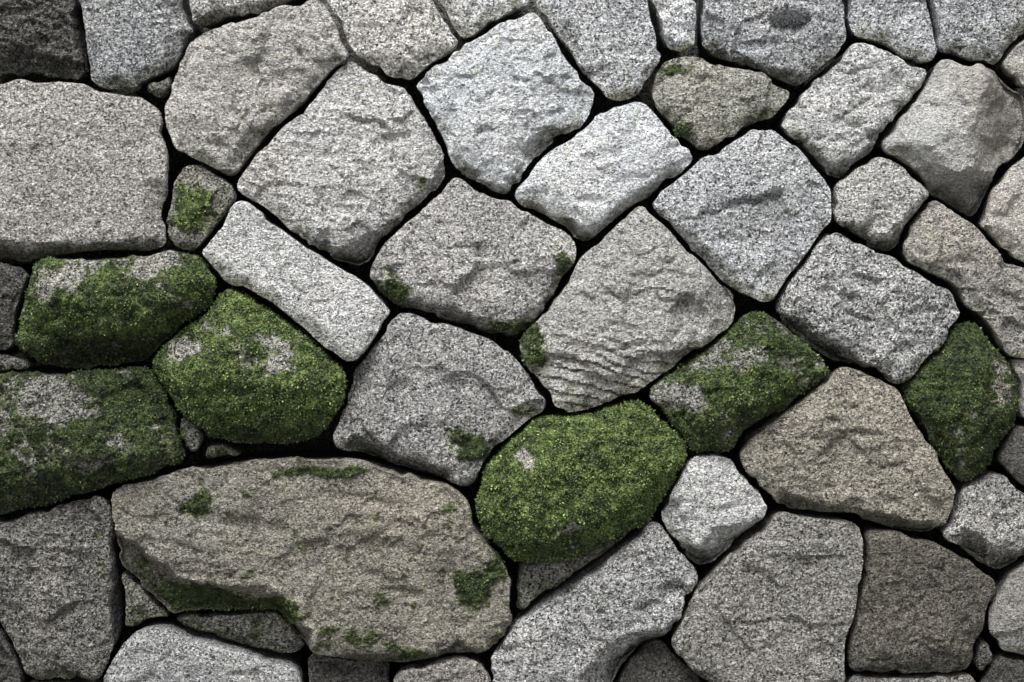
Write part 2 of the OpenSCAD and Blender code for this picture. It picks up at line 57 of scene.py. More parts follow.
# The wall, in millimetres
MM = 0.001
END_X = cad_high.x / MM
WALL_HEIGHT = cad_high.z / MM
BASE_HALF = 500  # half the wall's thickness at the ground
HEAD_HALF = 310  # half its thickness at the head
BATTER = (BASE_HALF - HEAD_HALF) / WALL_HEIGHT
CLOSER_SETBACK = 12

# The view: the part of the front that the picture frames
VIEW_WIDTH = 2048
VIEW_MIDDLE = 882
LENS = 50
SENSOR = 36
FLOOR = 20  # half its width, in metres

# How finely the stones are modelled
FRONT_SPACING = 5.5
FEATURE_SPACING = 4.5  # of the stones with the sharpest breaks
BACK_SPACING = 12
EXPOSED_SPACING = 9
COARSEST_SPACING = 60
FINE_DEPTH = 36  # depth behind the arris down to which the joint faces are fine
SPACING_GROWTH = 0.4
GRID_CLEAR = 0.6  # how far a free point keeps from a border, in spacings
GRID_SHARE = 0.8  # a grid serves the spacings from this share of its step to twice that
FACES_UP = 0.5  # how far a side that faces up runs back along the wall, for each unit round a stone
FILL_INSIDE = 1  # the triangulation's output that holds only what is inside the outline
SAME_POINT = 1e-5
ROW_HEIGHT = math.sqrt(3) / 2  # of a triangular grid, in spacings
HEAD_ZONE = 75  # depth below the head in which the upper sides of stones are open to view
END_ZONE = 16

# How a solid's outlines are read from it
WELD = 1e-5
TAIL_SHARE = 0.8  # a point deeper than this share of its stone is on its tail
JOINT_SHARE = 0.35  # one less deep than this share is on its face or at its joints
TAIL_CUTS = 3
CUT_CLEAR = 0.02  # how far a cut keeps from the points at its depth
CLEAR_OUT = 200  # further out than any stone's crown
RING_STEP = 4
CORNER_WEAR = 1  # passes that round a stone's corners

# How the stones are worn and broken
ARRIS_ANGLES = (0, 30, 60, 90)
CHIPPING = 1.2  # how much more the arris is worn where it is chipped
NICKS = 0.5
NEAR = 40  # reach within which neighbours are looked for
LEAST_JOINT = 4
MOST_GROWTH = 15
CORNER_REACH = 6  # ring points on each side over which a corner's turn is read
CORNER_GROWTH = 45  # how far corners are drawn out, for each unit of their turn's secant over 1
SHARPEST_TURN = math.radians(100)
RAGGED = 10  # how deep the outline's notches are
RAGGED_SIZE = 26
RIM_SLOPE = 0.12  # how much deeper the rim lies where it has grown outwards
WARP = 4  # how far an edge of a carving strays
WARP_SIZE = 34
WAVE_COUNT = 9
WAVE_SPREAD = (0.6, 1.8)  # the shortest and the longest wave, in sizes of a bump
DENT_CORNERS = 10
OUTWARD_REACH = 2  # ring points on each side over which the way into the joint is read
CARVE_STEEPER = 1.4  # how much steeper than drawn the carvings are cut
CARVE_DEEPER = 1.2  # and how much deeper
ARRIS_TURNS, NICK_TURNS = 24, 36  # how many waves the wear of an arris has round a stone
DRESSED_TILT = 0.04  # how far a dressed crown leans
SETTLING = 0.5  # how far a pass of wear moves a point towards the middle of its neighbours
CREASE = math.radians(26)  # edges that bend more than this are sharp

# The limits between which each stone is broken at random
FACET_STRAY = 0.3  # how far a facet strays from its even share of the turn
FACET_START = (0.25, 0.7)  # where it starts, from the stone's middle to its rim
FACET_LEVEL = (0.2, 0.5)  # how deep it starts, from the crown to the face's rim
FACET_DROP = (0.5, 1.1)  # how far it falls, in heights of the crown
FACET_EXTRA = (0, 8)  # and how much further
CORNER_WIDTH = (8, 26)
CORNER_DEPTH = (2, 9)
CORNER_SLOPE = (0.5, 1.1)
DENT_WIDTH = (12, 42)
DENT_SHAPE = (0.25, 0.5)  # a dent's height for its width
DENT_TURN = 30
DENT_SLOPE = (0.3, 0.7)
DENT_DEPTH = (2, 5)
PATCH_EDGE = (0.1, 1.6)  # where a patch starts to fade and where it ends, in its half widths

# What the geometry trees are given, in metres
SURFACE = {
    "Wave height": 0.01, "Break height": 0.036, "Facet height": 0.014, "Flake height": 0.0065,
    "Lump height": 0.008, "Pit depth": 0.0028, "Crack depth": 0.008, "Layer depth": 0.014,
    "Moss thickness": 0.008,
}
# Each kind of plane: its stretch, its size, the steps in it, how soft its edges are, and its height
PLANES = (
    ((1, 1, 1), 0.12, 0.06, 0.14, "Break height"),
    ((0.75, 0.75, 1.25), 0.045, 0.12, 0.08, "Facet height"),
    ((0.75, 0.75, 1.25), 0.018, 0.2, 0.06, "Flake height"),
)
STRAY_SIZE, STRAY = 0.05, 0.03  # how far the edges of planes, lumps and cracks stray
CRACK_SPACING = 0.17
LAYER_PITCH = 0.021  # the rise from one flaking layer to the next
LAYER_LEAN = 0.25  # how far a layer falls for each unit along the wall
TUFTS = {"Tuft spacing": 0.005, "Tufts to the metre": 50000.0, "Tuft height": 0.0048}
TUFT_RADIUS = 0.0022
RUBBLE = {"Rubble spacing": 0.032, "Rubble to the metre": 1500.0, "Rubble radius": 0.028}
RUBBLE_CHIPPING = 0.014
FULL_TURN = 6.28
LEAST_TUFTED = 0.3  # the least moss on a stone that has tufts

# How the granite looks, with the sizes of its patterns in metres
GRAIN_SIZE = 0.0026
CRYSTAL_SIZE = 0.0036
CHIP_SIZE = 0.01
FRAY_SIZE, FRAY = 0.004, 0.006  # how far the edges of grains, crystals and chips stray
FINE_SIZE = 0.005
ROUGH_SIZE = 0.011
HAMMER_SIZE = 0.03
PATCH_SIZE = 0.13
ALGAE_AND_SHADE_SIZE = 0.07
CLUMP_SIZE = 0.035
TUFT_SIZE = 0.0035
CRYSTAL_LEAN, CHIP_LEAN = 0.8, 0.3  # how far the normal leans in each
SHOULDER = 3.0  # how slowly the lightest grains approach white
DARKEST_GRAIN = 0.05
BUMP_DISTANCE = 0.008

# The light
LAMP_WIDTH, LAMP_HEIGHT = 6, 4
LAMP_AIM = (0, 0, 0.8)
SKY_LIGHT = 0.48
SKY_GLOW = 0.38  # how much more than that the camera sees
FLOOR_GLOW = 0.48  # brings the floor, as the camera sees it, near white


# Small sums
def smooth_step(low, high, x):
    t = np.clip((x - low) / (high - low), 0, 1)
    return t * t * (3 - 2 * t)


def lerp(a, b, share):
    return a + (b - a) * share


def heading(degrees):
    return np.array([math.cos(math.radians(degrees)), math.sin(math.radians(degrees))])


def from_edge(points, a, b):
    """How far each point lies from the straight edge between two others."""
    along = np.clip((points - a) @ (b - a) / ((b - a) @ (b - a)), 0, 1)
    return np.linalg.norm(points - a - np.outer(along, b - a), axis=1)


# Facings
class Facing:
    """A side of the wall. u runs right along it, v up it, and w back into the wall from its face."""

    def __init__(self, right, inward, half, batter):
        self.right = np.array(right, float)
        self.inward = np.array(inward, float)
        self.half = half
        self.batter = batter

    def local(self, points):
        u = points @ self.right
        v = points[:, 2]
        w = points @ self.inward + self.half - self.batter * v
        return np.stack([u, v, w], axis=1)

    def world(self, points):
        u, v, w = points.T
        out = np.outer(u, self.right) + np.outer(w - self.half + self.batter * v, self.inward)
        out[:, 2] = v
        return out


FRONT = Facing((1, 0, 0), (0, 1, 0), BASE_HALF, BATTER)
BACK = Facing((-1, 0, 0), (0, -1, 0), BASE_HALF, BATTER)
RIGHT_END = Facing((0, 1, 0), (-1, 0, 0), END_X - CLOSER_SETBACK, 0)
LEFT_END = Facing((0, -1, 0), (1, 0, 0), END_X - CLOSER_SETBACK, 0)


def facing_of(node, points):
    if node == "end_closers":
        return RIGHT_END if points[:, 0].mean() > 0 else LEFT_END
    return FRONT if points[:, 1].mean() < 0 else BACK


# Solids of the frame
def welded(node):
    """A node's points in millimetres and its triangles, with doubled points merged."""
    mesh = bmesh.new()
    mesh.from_mesh(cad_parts[node].data)
    bmesh.ops.remove_doubles(mesh, verts=mesh.verts, dist=WELD)
    points = np.array([v.co for v in mesh.verts]) / MM
    triangles = np.array([[v.index for v in f.verts] for f in mesh.faces])
    mesh.free()
    return points, triangles


def solids_of(node):
    """The points and triangles of each of a node's solids, in order along the wall."""
    points, triangles = welded(node)
    label = np.arange(len(points))
    before = None
    while not np.array_equal(label, before):
        before = label.copy()
        lowest = np.repeat(label[triangles].min(axis=1), 3)
        np.minimum.at(label, triangles.ravel(), lowest)
    solids = []
    for part in np.unique(label):
        members = label == part
        place = np.cumsum(members) - 1
        solids.append((points[members], place[triangles[label[triangles[:, 0]] == part]]))
    return sorted(solids, key=lambda solid: tuple(solid[0].mean(axis=0).round()))


def section(points, triangles, depth):
    """The closed line along which a solid is cut at a depth."""
    behind = points[:, 2] > depth
    links = {}
    for corners in triangles:
        sides = [(a, b) for a, b in zip(corners, np.roll(corners, -1)) if behind[a] != behind[b]]
        if sides:
            first, second = (tuple(sorted(side)) for side in sides)
            links.setdefault(first, []).append(second)
            links.setdefault(second, []).append(first)
    line = [min(links)]
    while True:
        ahead = [side for side in links[line[-1]] if side not in line[-2:]]
        if not ahead or ahead[0] == line[0]:
            break
        line.append(ahead[0])
    a, b = points[np.array(line)].transpose(1, 0, 2)
    return lerp(a, b, ((depth - a[:, 2]) / (b[:, 2] - a[:, 2]))[:, None])


def evenly(line, count):
    """A closed line as a number of points at equal steps, anticlockwise as its face is seen."""
    u, v = line[:, 0], line[:, 1]
    if np.sum(u * np.roll(v, -1) - np.roll(u, -1) * v) < 0:
        line = line[::-1]
    closed = np.vstack([line, line[:1]])
    walked = np.concatenate([[0], np.cumsum(np.linalg.norm(np.diff(closed, axis=0), axis=1))])
    at = np.linspace(0, walked[-1], count, endpoint=False)
    return np.stack([np.interp(at, walked, closed[:, k]) for k in range(3)], axis=1)


def rounded(ring, passes):
    for _ in range(passes):
        ring = ring / 2 + (np.roll(ring, 1, axis=0) + np.roll(ring, -1, axis=0)) / 4
    return ring


def crosses_itself(ring):
    start = ring[:, None, :2]
    step = np.roll(ring, -1, axis=0)[:, None, :2] - start
    offset = ring[None, :, :2] - start
    side = np.sign(step[..., 0] * offset[..., 1] - step[..., 1] * offset[..., 0])
    parted = side * np.roll(side, -1, axis=1) < 0
    return bool((parted & parted.T).any())


def aligned(ring, model):
    """The ring turned so that its points lie nearest to those of another ring."""
    offsets = ring[:, None, :2] - model[None, :, :2]
    misfit = np.sum(offsets ** 2, axis=2)
    pick = np.arange(len(ring))
    total = [misfit[(pick + shift) % len(ring), pick].sum() for shift in pick]
    return np.roll(ring, -int(np.argmin(total)), axis=0)


def loft_rings(points, triangles):
    """Rings round a stone, each with its points in step: its arris, its widest, and back to its tail."""
    depth = points[:, 2]
    deepest = depth[depth > TAIL_SHARE * depth.max()].min() - CUT_CLEAR
    widest = depth[depth < JOINT_SHARE * depth.max()].max() - CUT_CLEAR
    arris = depth[depth < widest - 1].max() + CUT_CLEAR
    cuts = [arris, widest, *np.linspace(widest, deepest, TAIL_CUTS + 1)[1:]]
    lines = [section(points, triangles, cut) for cut in cuts]
    around = np.linalg.norm(np.diff(lines[1], axis=0, append=lines[1][:1]), axis=1).sum()
    rings = [rounded(evenly(line, math.ceil(around / RING_STEP)), CORNER_WEAR) for line in lines]
    while crosses_itself(rings[0]):
        rings[0] = rounded(rings[0], CORNER_WEAR)
    for k in range(1, len(rings)):
        rings[k] = aligned(rings[k], rings[k - 1])
    return rings


# One of the frame's solids, with its rings
Plan = namedtuple("Plan", "node facing local triangles rings")


def notches(rng, ring):
    """How far a broken edge falls back at each point of a ring."""
    walked = np.linalg.norm(np.diff(ring, axis=0, append=ring[:1]), axis=1).cumsum()
    count = math.ceil(walked[-1] / RAGGED_SIZE)
    knots = np.sort(rng.uniform(0, walked[-1], count))
    return np.interp(walked, knots, RAGGED * rng.uniform(0, 1, count) ** 2, period=walked[-1])


def corner_growth(ring):
    """How much further each point of a ring may spread, to draw out the rounded corners."""
    before = (ring - np.roll(ring, CORNER_REACH, axis=0))[:, :2]
    after = (np.roll(ring, -CORNER_REACH, axis=0) - ring)[:, :2]
    turned = before[:, 0] * after[:, 1] - before[:, 1] * after[:, 0]
    turn = np.arctan2(turned, np.sum(before * after, axis=1))
    return CORNER_GROWTH * (1 / np.cos(np.clip(turn, 0, SHARPEST_TURN) / 2) - 1)


def grown(rng, rings, others):
    """The rings of a stone's face spread into its joints, as far as its neighbours' outlines allow."""
    widest = rings[1]
    ahead = (np.roll(widest, -OUTWARD_REACH, axis=0) - np.roll(widest, OUTWARD_REACH, axis=0))[:, :2]
    outward = np.stack([ahead[:, 1], -ahead[:, 0]], axis=1)
    outward /= np.linalg.norm(outward, axis=1)[:, None]
    low, high = widest[:, :2].min(axis=0) - NEAR, widest[:, :2].max(axis=0) + NEAR
    others = others[((others > low) & (others < high)).all(axis=1)]
    gap = np.full(len(widest), 2 * NEAR)
    if len(others):
        gap = np.linalg.norm(widest[:, None, :2] - others[None], axis=2).min(axis=1)
    spread = np.clip(gap / 2 - LEAST_JOINT / 2, 0, MOST_GROWTH + corner_growth(widest))
    held = (np.abs(widest[:, 0]) > END_X - END_ZONE) | (widest[:, 1] < END_ZONE)
    spread = rounded(np.where(held, 0, spread)[:, None], 2)
    spread -= rounded(np.where(held, 0, notches(rng, widest))[:, None], 1)
    move = np.hstack([outward * spread, np.zeros((len(widest), 1))])
    faces = [ring + move for ring in rings[:2]]
    faces[0][:, 2] += RIM_SLOPE * np.maximum(spread[:, 0], 0)
    for k in range(2):
        while crosses_itself(faces[k]):
            faces[k] = rounded(faces[k], 2)
    return faces + rings[2:]


def ripple(rng, count, turns):
    """A closed wave round a stone, from 0 to 1."""
    turn = np.arange(count) * 2 * math.pi / count
    total = sum(np.sin(k * turn + rng.uniform(0, 2 * math.pi)) / math.sqrt(k)
                for k in range(2, turns))
    return (total - total.min()) / np.ptp(total)


def waves(rng, flat, size):
    """An uneven wave over a plane, from about -1 to 1, with bumps of about a size."""
    total = np.zeros(len(flat))
    for _ in range(WAVE_COUNT):
        way = heading(rng.uniform(0, 360)) * 2 * math.pi / (size * rng.uniform(*WAVE_SPREAD))
        total += np.sin(flat @ way + rng.uniform(0, 2 * math.pi))
    return total * math.sqrt(2 / WAVE_COUNT) / 2


def worn_arris(rng, arris, widest, wear):
    """Rings over a stone's rounded arris, chipped here and there, from its face to its joint face."""
    width = np.linalg.norm((widest - arris)[:, :2], axis=1).mean()
    count = len(arris)
    chipped = wear * (1 + CHIPPING * ripple(rng, count, ARRIS_TURNS) ** 2)
    nick = NICKS * ripple(rng, count, NICK_TURNS) ** 2
    rings = []
    for angle in ARRIS_ANGLES:
        share = lerp(nick, chipped, 1 - math.sin(math.radians(angle)))
        ring = lerp(widest, arris, share[:, None])
        ring[:, 2] = arris[:, 2] + chipped * width * (1 - math.cos(math.radians(angle)))
        rings.append(ring)
    return rings


# Carvings: an outline on the wall's face, the slope inside its edge, and the greatest depth
def under(line, slope=0.8, depth=60, shift=(0, -200)):
    """All that lies beyond a ridge, such as the underside of a block."""
    return line + [(u + shift[0], v + shift[1]) for u, v in reversed(line)], slope, depth


def dent(u, v, half_u, half_v, depth=5, turn=0, slope=0.6):
    ahead, side = heading(turn) * half_u, heading(turn + 90) * half_v
    ring = [heading(angle) for angle in range(0, 360, 360 // DENT_CORNERS)]
    return [tuple((u, v) + ahead * a + side * b) for a, b in ring], slope, depth


# Meshing
def triangular_grid(low, high, spacing):
    u, v = np.meshgrid(
        np.arange(low[0], high[0], spacing), np.arange(low[1], high[1], spacing * ROW_HEIGHT)
    )
    u[1::2] += spacing / 2
    return np.stack([u.ravel(), v.ravel()], axis=1)


def clearance(points, outline):
    """How far each point lies inside a closed outline. Outside it is negative."""
    best = np.full(len(points), np.inf)
    inside = np.zeros(len(points), bool)
    for a, b in zip(outline, np.roll(outline, -1, axis=0)):
        best = np.minimum(best, from_edge(points, a, b))
        if a[1] != b[1]:
            crossing = a[0] + (points[:, 1] - a[1]) * (b[0] - a[0]) / (b[1] - a[1])
            spans = (points[:, 1] >= min(a[1], b[1])) & (points[:, 1] < max(a[1], b[1]))
            inside ^= spans & (points[:, 0] < crossing)
    return np.where(inside, best, -best)


def fill(outline, inner):
    """Triangles that fill a closed outline and use the points inside it, as indices into both."""
    count = len(outline)
    points = [Vector(p) for p in np.vstack([outline, inner])]
    border = [(i, (i + 1) % count) for i in range(count)]
    _, _, faces, origins, _, _ = delaunay_2d_cdt(points, border, [], FILL_INSIDE, SAME_POINT)
    origin = [o[0] for o in origins]
    return np.array([[origin[i] for i in face] for face in faces])


class Sides:
    """The joint faces of a stone, unrolled: s runs round the stone and d back from its face."""

    def __init__(self, rings, facing, finest):
        self.rings = [np.vstack([r, r[:1]]) for r in rings]
        self.facing = facing
        self.finest = finest
        widest = self.rings[len(ARRIS_ANGLES) - 1]
        steps = np.linalg.norm(np.diff(widest, axis=0), axis=1)
        self.knots = np.concatenate([[0], np.cumsum(steps)])
        gaps = [np.linalg.norm(b - a, axis=1).mean() for a, b in zip(self.rings, self.rings[1:])]
        self.stops = np.concatenate([[0], np.cumsum(gaps)])
        self.length = self.knots[-1]
        self.depth = self.stops[-1]

    def at(self, s, d):
        """The places of points at s and d."""
        s, d = np.broadcast_arrays(np.asarray(s, float), np.asarray(d, float))
        rounds = np.array([
            [np.interp(s, self.knots, ring[:, axis]) for axis in range(3)] for ring in self.rings
        ])
        band = np.clip(np.searchsorted(self.stops, d, side="right") - 1, 0, len(self.stops) - 2)
        share = (d - self.stops[band]) / (self.stops[band + 1] - self.stops[band])
        pick = np.arange(len(s))
        return lerp(rounds[band, :, pick], rounds[band + 1, :, pick], share[:, None])

    def exposed(self, s, d):
        """Which points are open to view from above or from the wall's ends."""
        here = self.at(s, d)
        ahead = self.at((np.asarray(s) + 1) % self.length, d)
        upward = (here - ahead)[:, 0] > FACES_UP
        world = self.facing.world(here)
        on_head = upward & (world[:, 2] > WALL_HEIGHT - HEAD_ZONE)
        return on_head | (np.abs(world[:, 0]) > END_X - END_ZONE)

    def spacing(self, s, d):
        wanted = self.finest + SPACING_GROWTH * np.maximum(0, d - FINE_DEPTH)
        wanted = np.minimum(wanted, COARSEST_SPACING)
        open_spacing = max(self.finest, EXPOSED_SPACING)
        return np.where(self.exposed(s, d), np.minimum(wanted, open_spacing), wanted)

    def seam(self):
        """The depths of the points along the line where the unrolled sides meet."""
        depths = [0.0]
        while depths[-1] < self.depth:
            depths.append(depths[-1] + self.spacing(np.zeros(1), np.array(depths[-1:]))[0])
        return np.array(depths[1:-1]) * self.depth / depths[-1]

    def free_points(self):
        """Points inside the unrolled sides, closer where the stone is open to view."""
        grids = []
        step = self.finest
        while step < COARSEST_SPACING:
            grid = triangular_grid((0, 0), (self.length, self.depth), step)
            s, d = grid.T
            room = np.minimum(np.minimum(s, self.length - s), np.minimum(d, self.depth - d))
            wanted = self.spacing(s, d)
            served = (wanted >= step * GRID_SHARE) & (wanted < 2 * step * GRID_SHARE)
            grids.append(grid[(room > GRID_CLEAR * step) & served])
            step *= 2
        return np.vstack(grids)


def depth_at(solid, u, v, face_depth):
    """How deep a solid's face lies at a place. Beyond its rim it goes on down."""
    hit = solid.ray_cast(Vector((u, v, face_depth - CLEAR_OUT)), Vector((0, 0, 1)))[0]
    if hit:
        return min(hit.z, face_depth)
    return face_depth + RIM_SLOPE * solid.find_nearest(Vector((u, v, face_depth)))[3]


class Stone:
    """A stone's mesh in its facing's own directions, with what the materials need at each point."""

    def __init__(self, plan, spacing, look, shade, marks, seed):
        rng = np.random.default_rng(seed)
        carved, mossy, layered, tinted, tone_and_painted_light = marks
        arris, widest, *tail = plan.rings
        self.facing = plan.facing
        self.outline = widest[:, :2]
        self.middle = self.outline.mean(axis=0)
        self.face_depth = arris[:, 2].mean()
        self.crown_depth = lerp(self.face_depth, plan.local[:, 2].min(), look["bulge"])
        rounds = [*worn_arris(rng, arris, widest, look["wear"]), widest, *tail]
        sides = Sides(rounds, plan.facing, spacing)
        self.count = 4 * math.ceil(sides.length / spacing / 4)
        self.rim_s = np.arange(self.count) * sides.length / self.count
        solid = BVHTree.FromPolygons(plan.local.tolist(), plan.triangles.tolist())
        self.mesh_front(sides, solid, look["bulge"])
        self.mesh_sides(sides)
        self.fade *= smooth_step(0, END_ZONE, self.points[:, 1])  # nothing moves below the ground
        self.front = 1 - smooth_step(0, FINE_DEPTH, self.behind)
        self.room, self.under = self.from_rim()
        self.flatten(look["flat"], rng.uniform(-1, 1, 2) * DRESSED_TILT)
        self.break_off(rng, look["facets"])
        self.knock_corners(rng, look["corners"])
        self.scallop(rng, look["dents"])
        for outline, slope, depth in carved:
            self.carve(rng, outline, slope, depth)
        self.relax(look["smooth"])
        size = len(self.points)
        # Patches of tone and of painted light, mostly painted shade with a few painted highlights, change
        # each point's shade
        self.shade = shade * (1 + self.spread_of(tone_and_painted_light))
        self.warmth = self.patched(look["warmth"], tinted)
        self.rough = np.full(size, look["rough"])
        self.grain = np.full(size, look["grain"])
        self.moss = self.patched(look["moss"], mossy)
        self.layers = self.patched(0, layered)
        self.seed = np.full(size, rng.uniform(0, 1))

    def mesh_front(self, sides, solid, bulge):
        border = sides.at(self.rim_s, np.zeros(self.count))
        while crosses_itself(border):
            border = rounded(border, 2)
        low, high = border[:, :2].min(axis=0), border[:, :2].max(axis=0)
        inner = triangular_grid(low, high, sides.finest)
        inner = inner[clearance(inner, border[::2, :2]) > GRID_CLEAR * sides.finest]
        depths = np.array([depth_at(solid, u, v, self.face_depth) for u, v in inner])
        share = np.where(depths < self.face_depth, bulge, 1)
        depths = self.face_depth + (depths - self.face_depth) * share
        self.points = np.vstack([border, np.column_stack([inner, depths])])
        self.triangles = fill(border[:, :2], inner)
        self.fade = np.ones(len(self.points))
        self.behind = np.zeros(len(self.points))

    def mesh_sides(self, sides):
        """The joint faces share the rim's points with the front, and end in a ring round the tail."""
        tail_count = self.count // 4
        tail_s = np.arange(tail_count) * sides.length / tail_count
        seam = sides.seam()
        inner = sides.free_points()
        first = len(self.points)
        seam_id = first + np.arange(len(seam))
        tail_id = first + len(seam) + np.arange(tail_count)
        inner_id = first + len(seam) + tail_count + np.arange(len(inner))
        corners = [
            (np.append(self.rim_s, sides.length), np.zeros(self.count + 1)),
            (np.full(len(seam), sides.length), seam),
            (np.append(tail_s, sides.length)[::-1], np.full(tail_count + 1, sides.depth)),
            (np.zeros(len(seam)), seam[::-1]),
        ]
        outline = np.hstack(corners).T
        ids = np.concatenate([np.arange(self.count), [0], seam_id, tail_id[:1], tail_id[::-1],
                              seam_id[::-1], inner_id])
        patch = ids[fill(outline, inner)][:, ::-1]
        s = np.concatenate([np.zeros(len(seam)), tail_s, inner[:, 0]])
        d = np.concatenate([seam, np.full(tail_count, sides.depth), inner[:, 1]])
        foot_id = first + len(s)
        cap = [(foot_id, tail_id[(i + 1) % tail_count], tail_id[i]) for i in range(tail_count)]
        foot = sides.rings[-1].mean(axis=0)
        self.points = np.vstack([self.points, sides.at(s, d), foot])
        self.triangles = np.vstack([self.triangles, patch, cap])
        hidden = smooth_step(FINE_DEPTH, 2 * FINE_DEPTH, d)
        fade = np.where(sides.exposed(s, d), 1, 1 - hidden)
        self.fade = np.concatenate([self.fade, fade, [0]])
        self.behind = np.concatenate([self.behind, d, [sides.depth]])

    # Shaping
    def from_rim(self):
        """How far each point of the front lies in from the rim, and how much the rim is below it."""
        room = np.full(len(self.points), np.inf)
        below = np.zeros(len(self.points))
        flat = self.points[:, :2]
        for a, b in zip(self.outline, np.roll(self.outline, -1, axis=0)):
            away = from_edge(flat, a, b)
            nearer = away < room
            room = np.where(nearer, away, room)
            below = np.where(nearer, (b - a)[0] / np.linalg.norm(b - a), below)
        return np.where(self.behind > 0, 0, room), below

    def sink(self, depth):
        """Moves the front back into the stone."""
        self.points[:, 2] += np.maximum(depth, 0) * self.front

    def cut(self, through, depth, slope):
        """Breaks off all that stands in front of a plane through a point, which falls back by a slope."""
        plane = depth + (self.points[:, :2] - through) @ slope
        self.sink(plane - self.points[:, 2])

    def carve(self, rng, outline, slope, depth):
        """Sinks the part of the front inside an outline, by a slope from its edge down to a depth."""
        flat = self.points[:, :2]
        outline = np.array(outline, float)
        low, high = outline.min(axis=0) - WARP, outline.max(axis=0) + WARP
        near = np.flatnonzero(((flat > low) & (flat < high)).all(axis=1))
        if len(near):
            warped = flat[near] + WARP * np.stack(
                [waves(rng, flat[near], WARP_SIZE), waves(rng, flat[near], WARP_SIZE)], axis=1)
            sunk = np.zeros(len(flat))
            fall = clearance(warped, outline) * slope * CARVE_STEEPER
            sunk[near] = np.clip(fall, 0, depth * CARVE_DEEPER)
            self.sink(sunk)

    def flatten(self, share, tilt):
        """Dresses the crown down by a share of how far it stands out."""
        self.cut(self.middle, lerp(self.crown_depth, self.face_depth, share), tilt)

    def break_off(self, rng, count):
        """Facets round the face, where pieces were broken off."""
        turn = rng.uniform(0, 360)
        bulge = self.face_depth - self.crown_depth
        for k in range(count):
            toward = heading(turn + (k + rng.uniform(-FACET_STRAY, FACET_STRAY)) * 360 / count)
            reach = ((self.outline - self.middle) @ toward).max()
            start = rng.uniform(*FACET_START)
            drop = bulge * rng.uniform(*FACET_DROP) + rng.uniform(*FACET_EXTRA)
            level = lerp(self.crown_depth, self.face_depth, rng.uniform(*FACET_LEVEL))
            self.cut(self.middle + toward * reach * start, level, toward * drop / (reach * (1 - start)))

    def knock_corners(self, rng, count):
        """Small facets at the corners that stand out furthest."""
        for _ in range(count):
            toward = heading(rng.uniform(0, 360))
            reach = ((self.outline - self.middle) @ toward).max()
            width = rng.uniform(*CORNER_WIDTH)
            level = self.face_depth - rng.uniform(*CORNER_DEPTH)
            self.cut(self.middle + toward * (reach - width), level, toward * rng.uniform(*CORNER_SLOPE))

    def scallop(self, rng, count):
        """Shallow dents where flakes came off, most of them wider than high."""
        low, high = self.outline.min(axis=0), self.outline.max(axis=0)
        for _ in range(count):
            u, v = rng.uniform(low, high)
            wide = rng.uniform(*DENT_WIDTH)
            tall = wide * rng.uniform(*DENT_SHAPE)
            outline = dent(u, v, wide, tall, turn=rng.normal(0, DENT_TURN))[0]
            self.carve(rng, outline, rng.uniform(*DENT_SLOPE), rng.uniform(*DENT_DEPTH))

    def spread_of(self, patches):
        """How much patches add at each point."""
        total = np.zeros(len(self.points))
        for u, v, half_u, half_v, amount in patches:
            away = np.hypot((self.points[:, 0] - u) / half_u, (self.points[:, 1] - v) / half_v)
            total += amount * (1 - smooth_step(*PATCH_EDGE, away))
        return total

    def patched(self, base, patches):
        return np.clip(base + self.spread_of(patches), 0, 1)

    def edges(self):
        t = self.triangles
        pairs = np.sort(np.vstack([t[:, :2], t[:, 1:], t[:, ::2]]), axis=1)
        return np.unique(pairs, axis=0)

    def relax(self, passes):
        """Wears the stone: each point moves towards the middle of its neighbours."""
        a, b = self.edges().T
        size = len(self.points)
        near = np.bincount(a, minlength=size) + np.bincount(b, minlength=size)
        for _ in range(passes):
            total = np.stack([
                np.bincount(a, self.points[b, k], size) + np.bincount(b, self.points[a, k], size)
                for k in range(3)
            ], axis=1)
            move = (total / near[:, None] - self.points) * SETTLING
            self.points += move * self.fade[:, None]


# What a stone's mesh holds at each point
POINT_VALUES = (
    "fade", "behind", "shade", "warmth", "rough", "grain", "moss", "layers", "seed", "room", "under",
)


def add_object(name, data):
    obj = bpy.data.objects.new(name, data)
    bpy.context.scene.collection.objects.link(obj)
    return obj


def stone_mesh(name, stones):
    """One Blender object of several stones, with the values that the node trees read at each point."""
    points = np.vstack([s.facing.world(s.points) for s in stones]) * MM
    firsts = np.cumsum([0] + [len(s.points) for s in stones[:-1]])
    triangles = np.vstack([s.triangles + first for s, first in zip(stones, firsts)])
    mesh = bpy.data.meshes.new(name)
    mesh.vertices.add(len(points))
    mesh.vertices.foreach_set("co", points.astype(np.float32).ravel())
    mesh.loops.add(triangles.size)
    mesh.loops.foreach_set("vertex_index", triangles.astype(np.int32).ravel())
    mesh.polygons.add(len(triangles))
    mesh.polygons.foreach_set("loop_start", np.arange(0, triangles.size, 3, dtype=np.int32))
    mesh.update(calc_edges=True)
    mesh.shade_smooth()
    for key in POINT_VALUES:
        values = np.concatenate([getattr(s, key) for s in stones])
        mesh.attributes.new(key, "FLOAT", "POINT").data.foreach_set("value", values.astype(np.float32))
    return add_object(name, mesh)


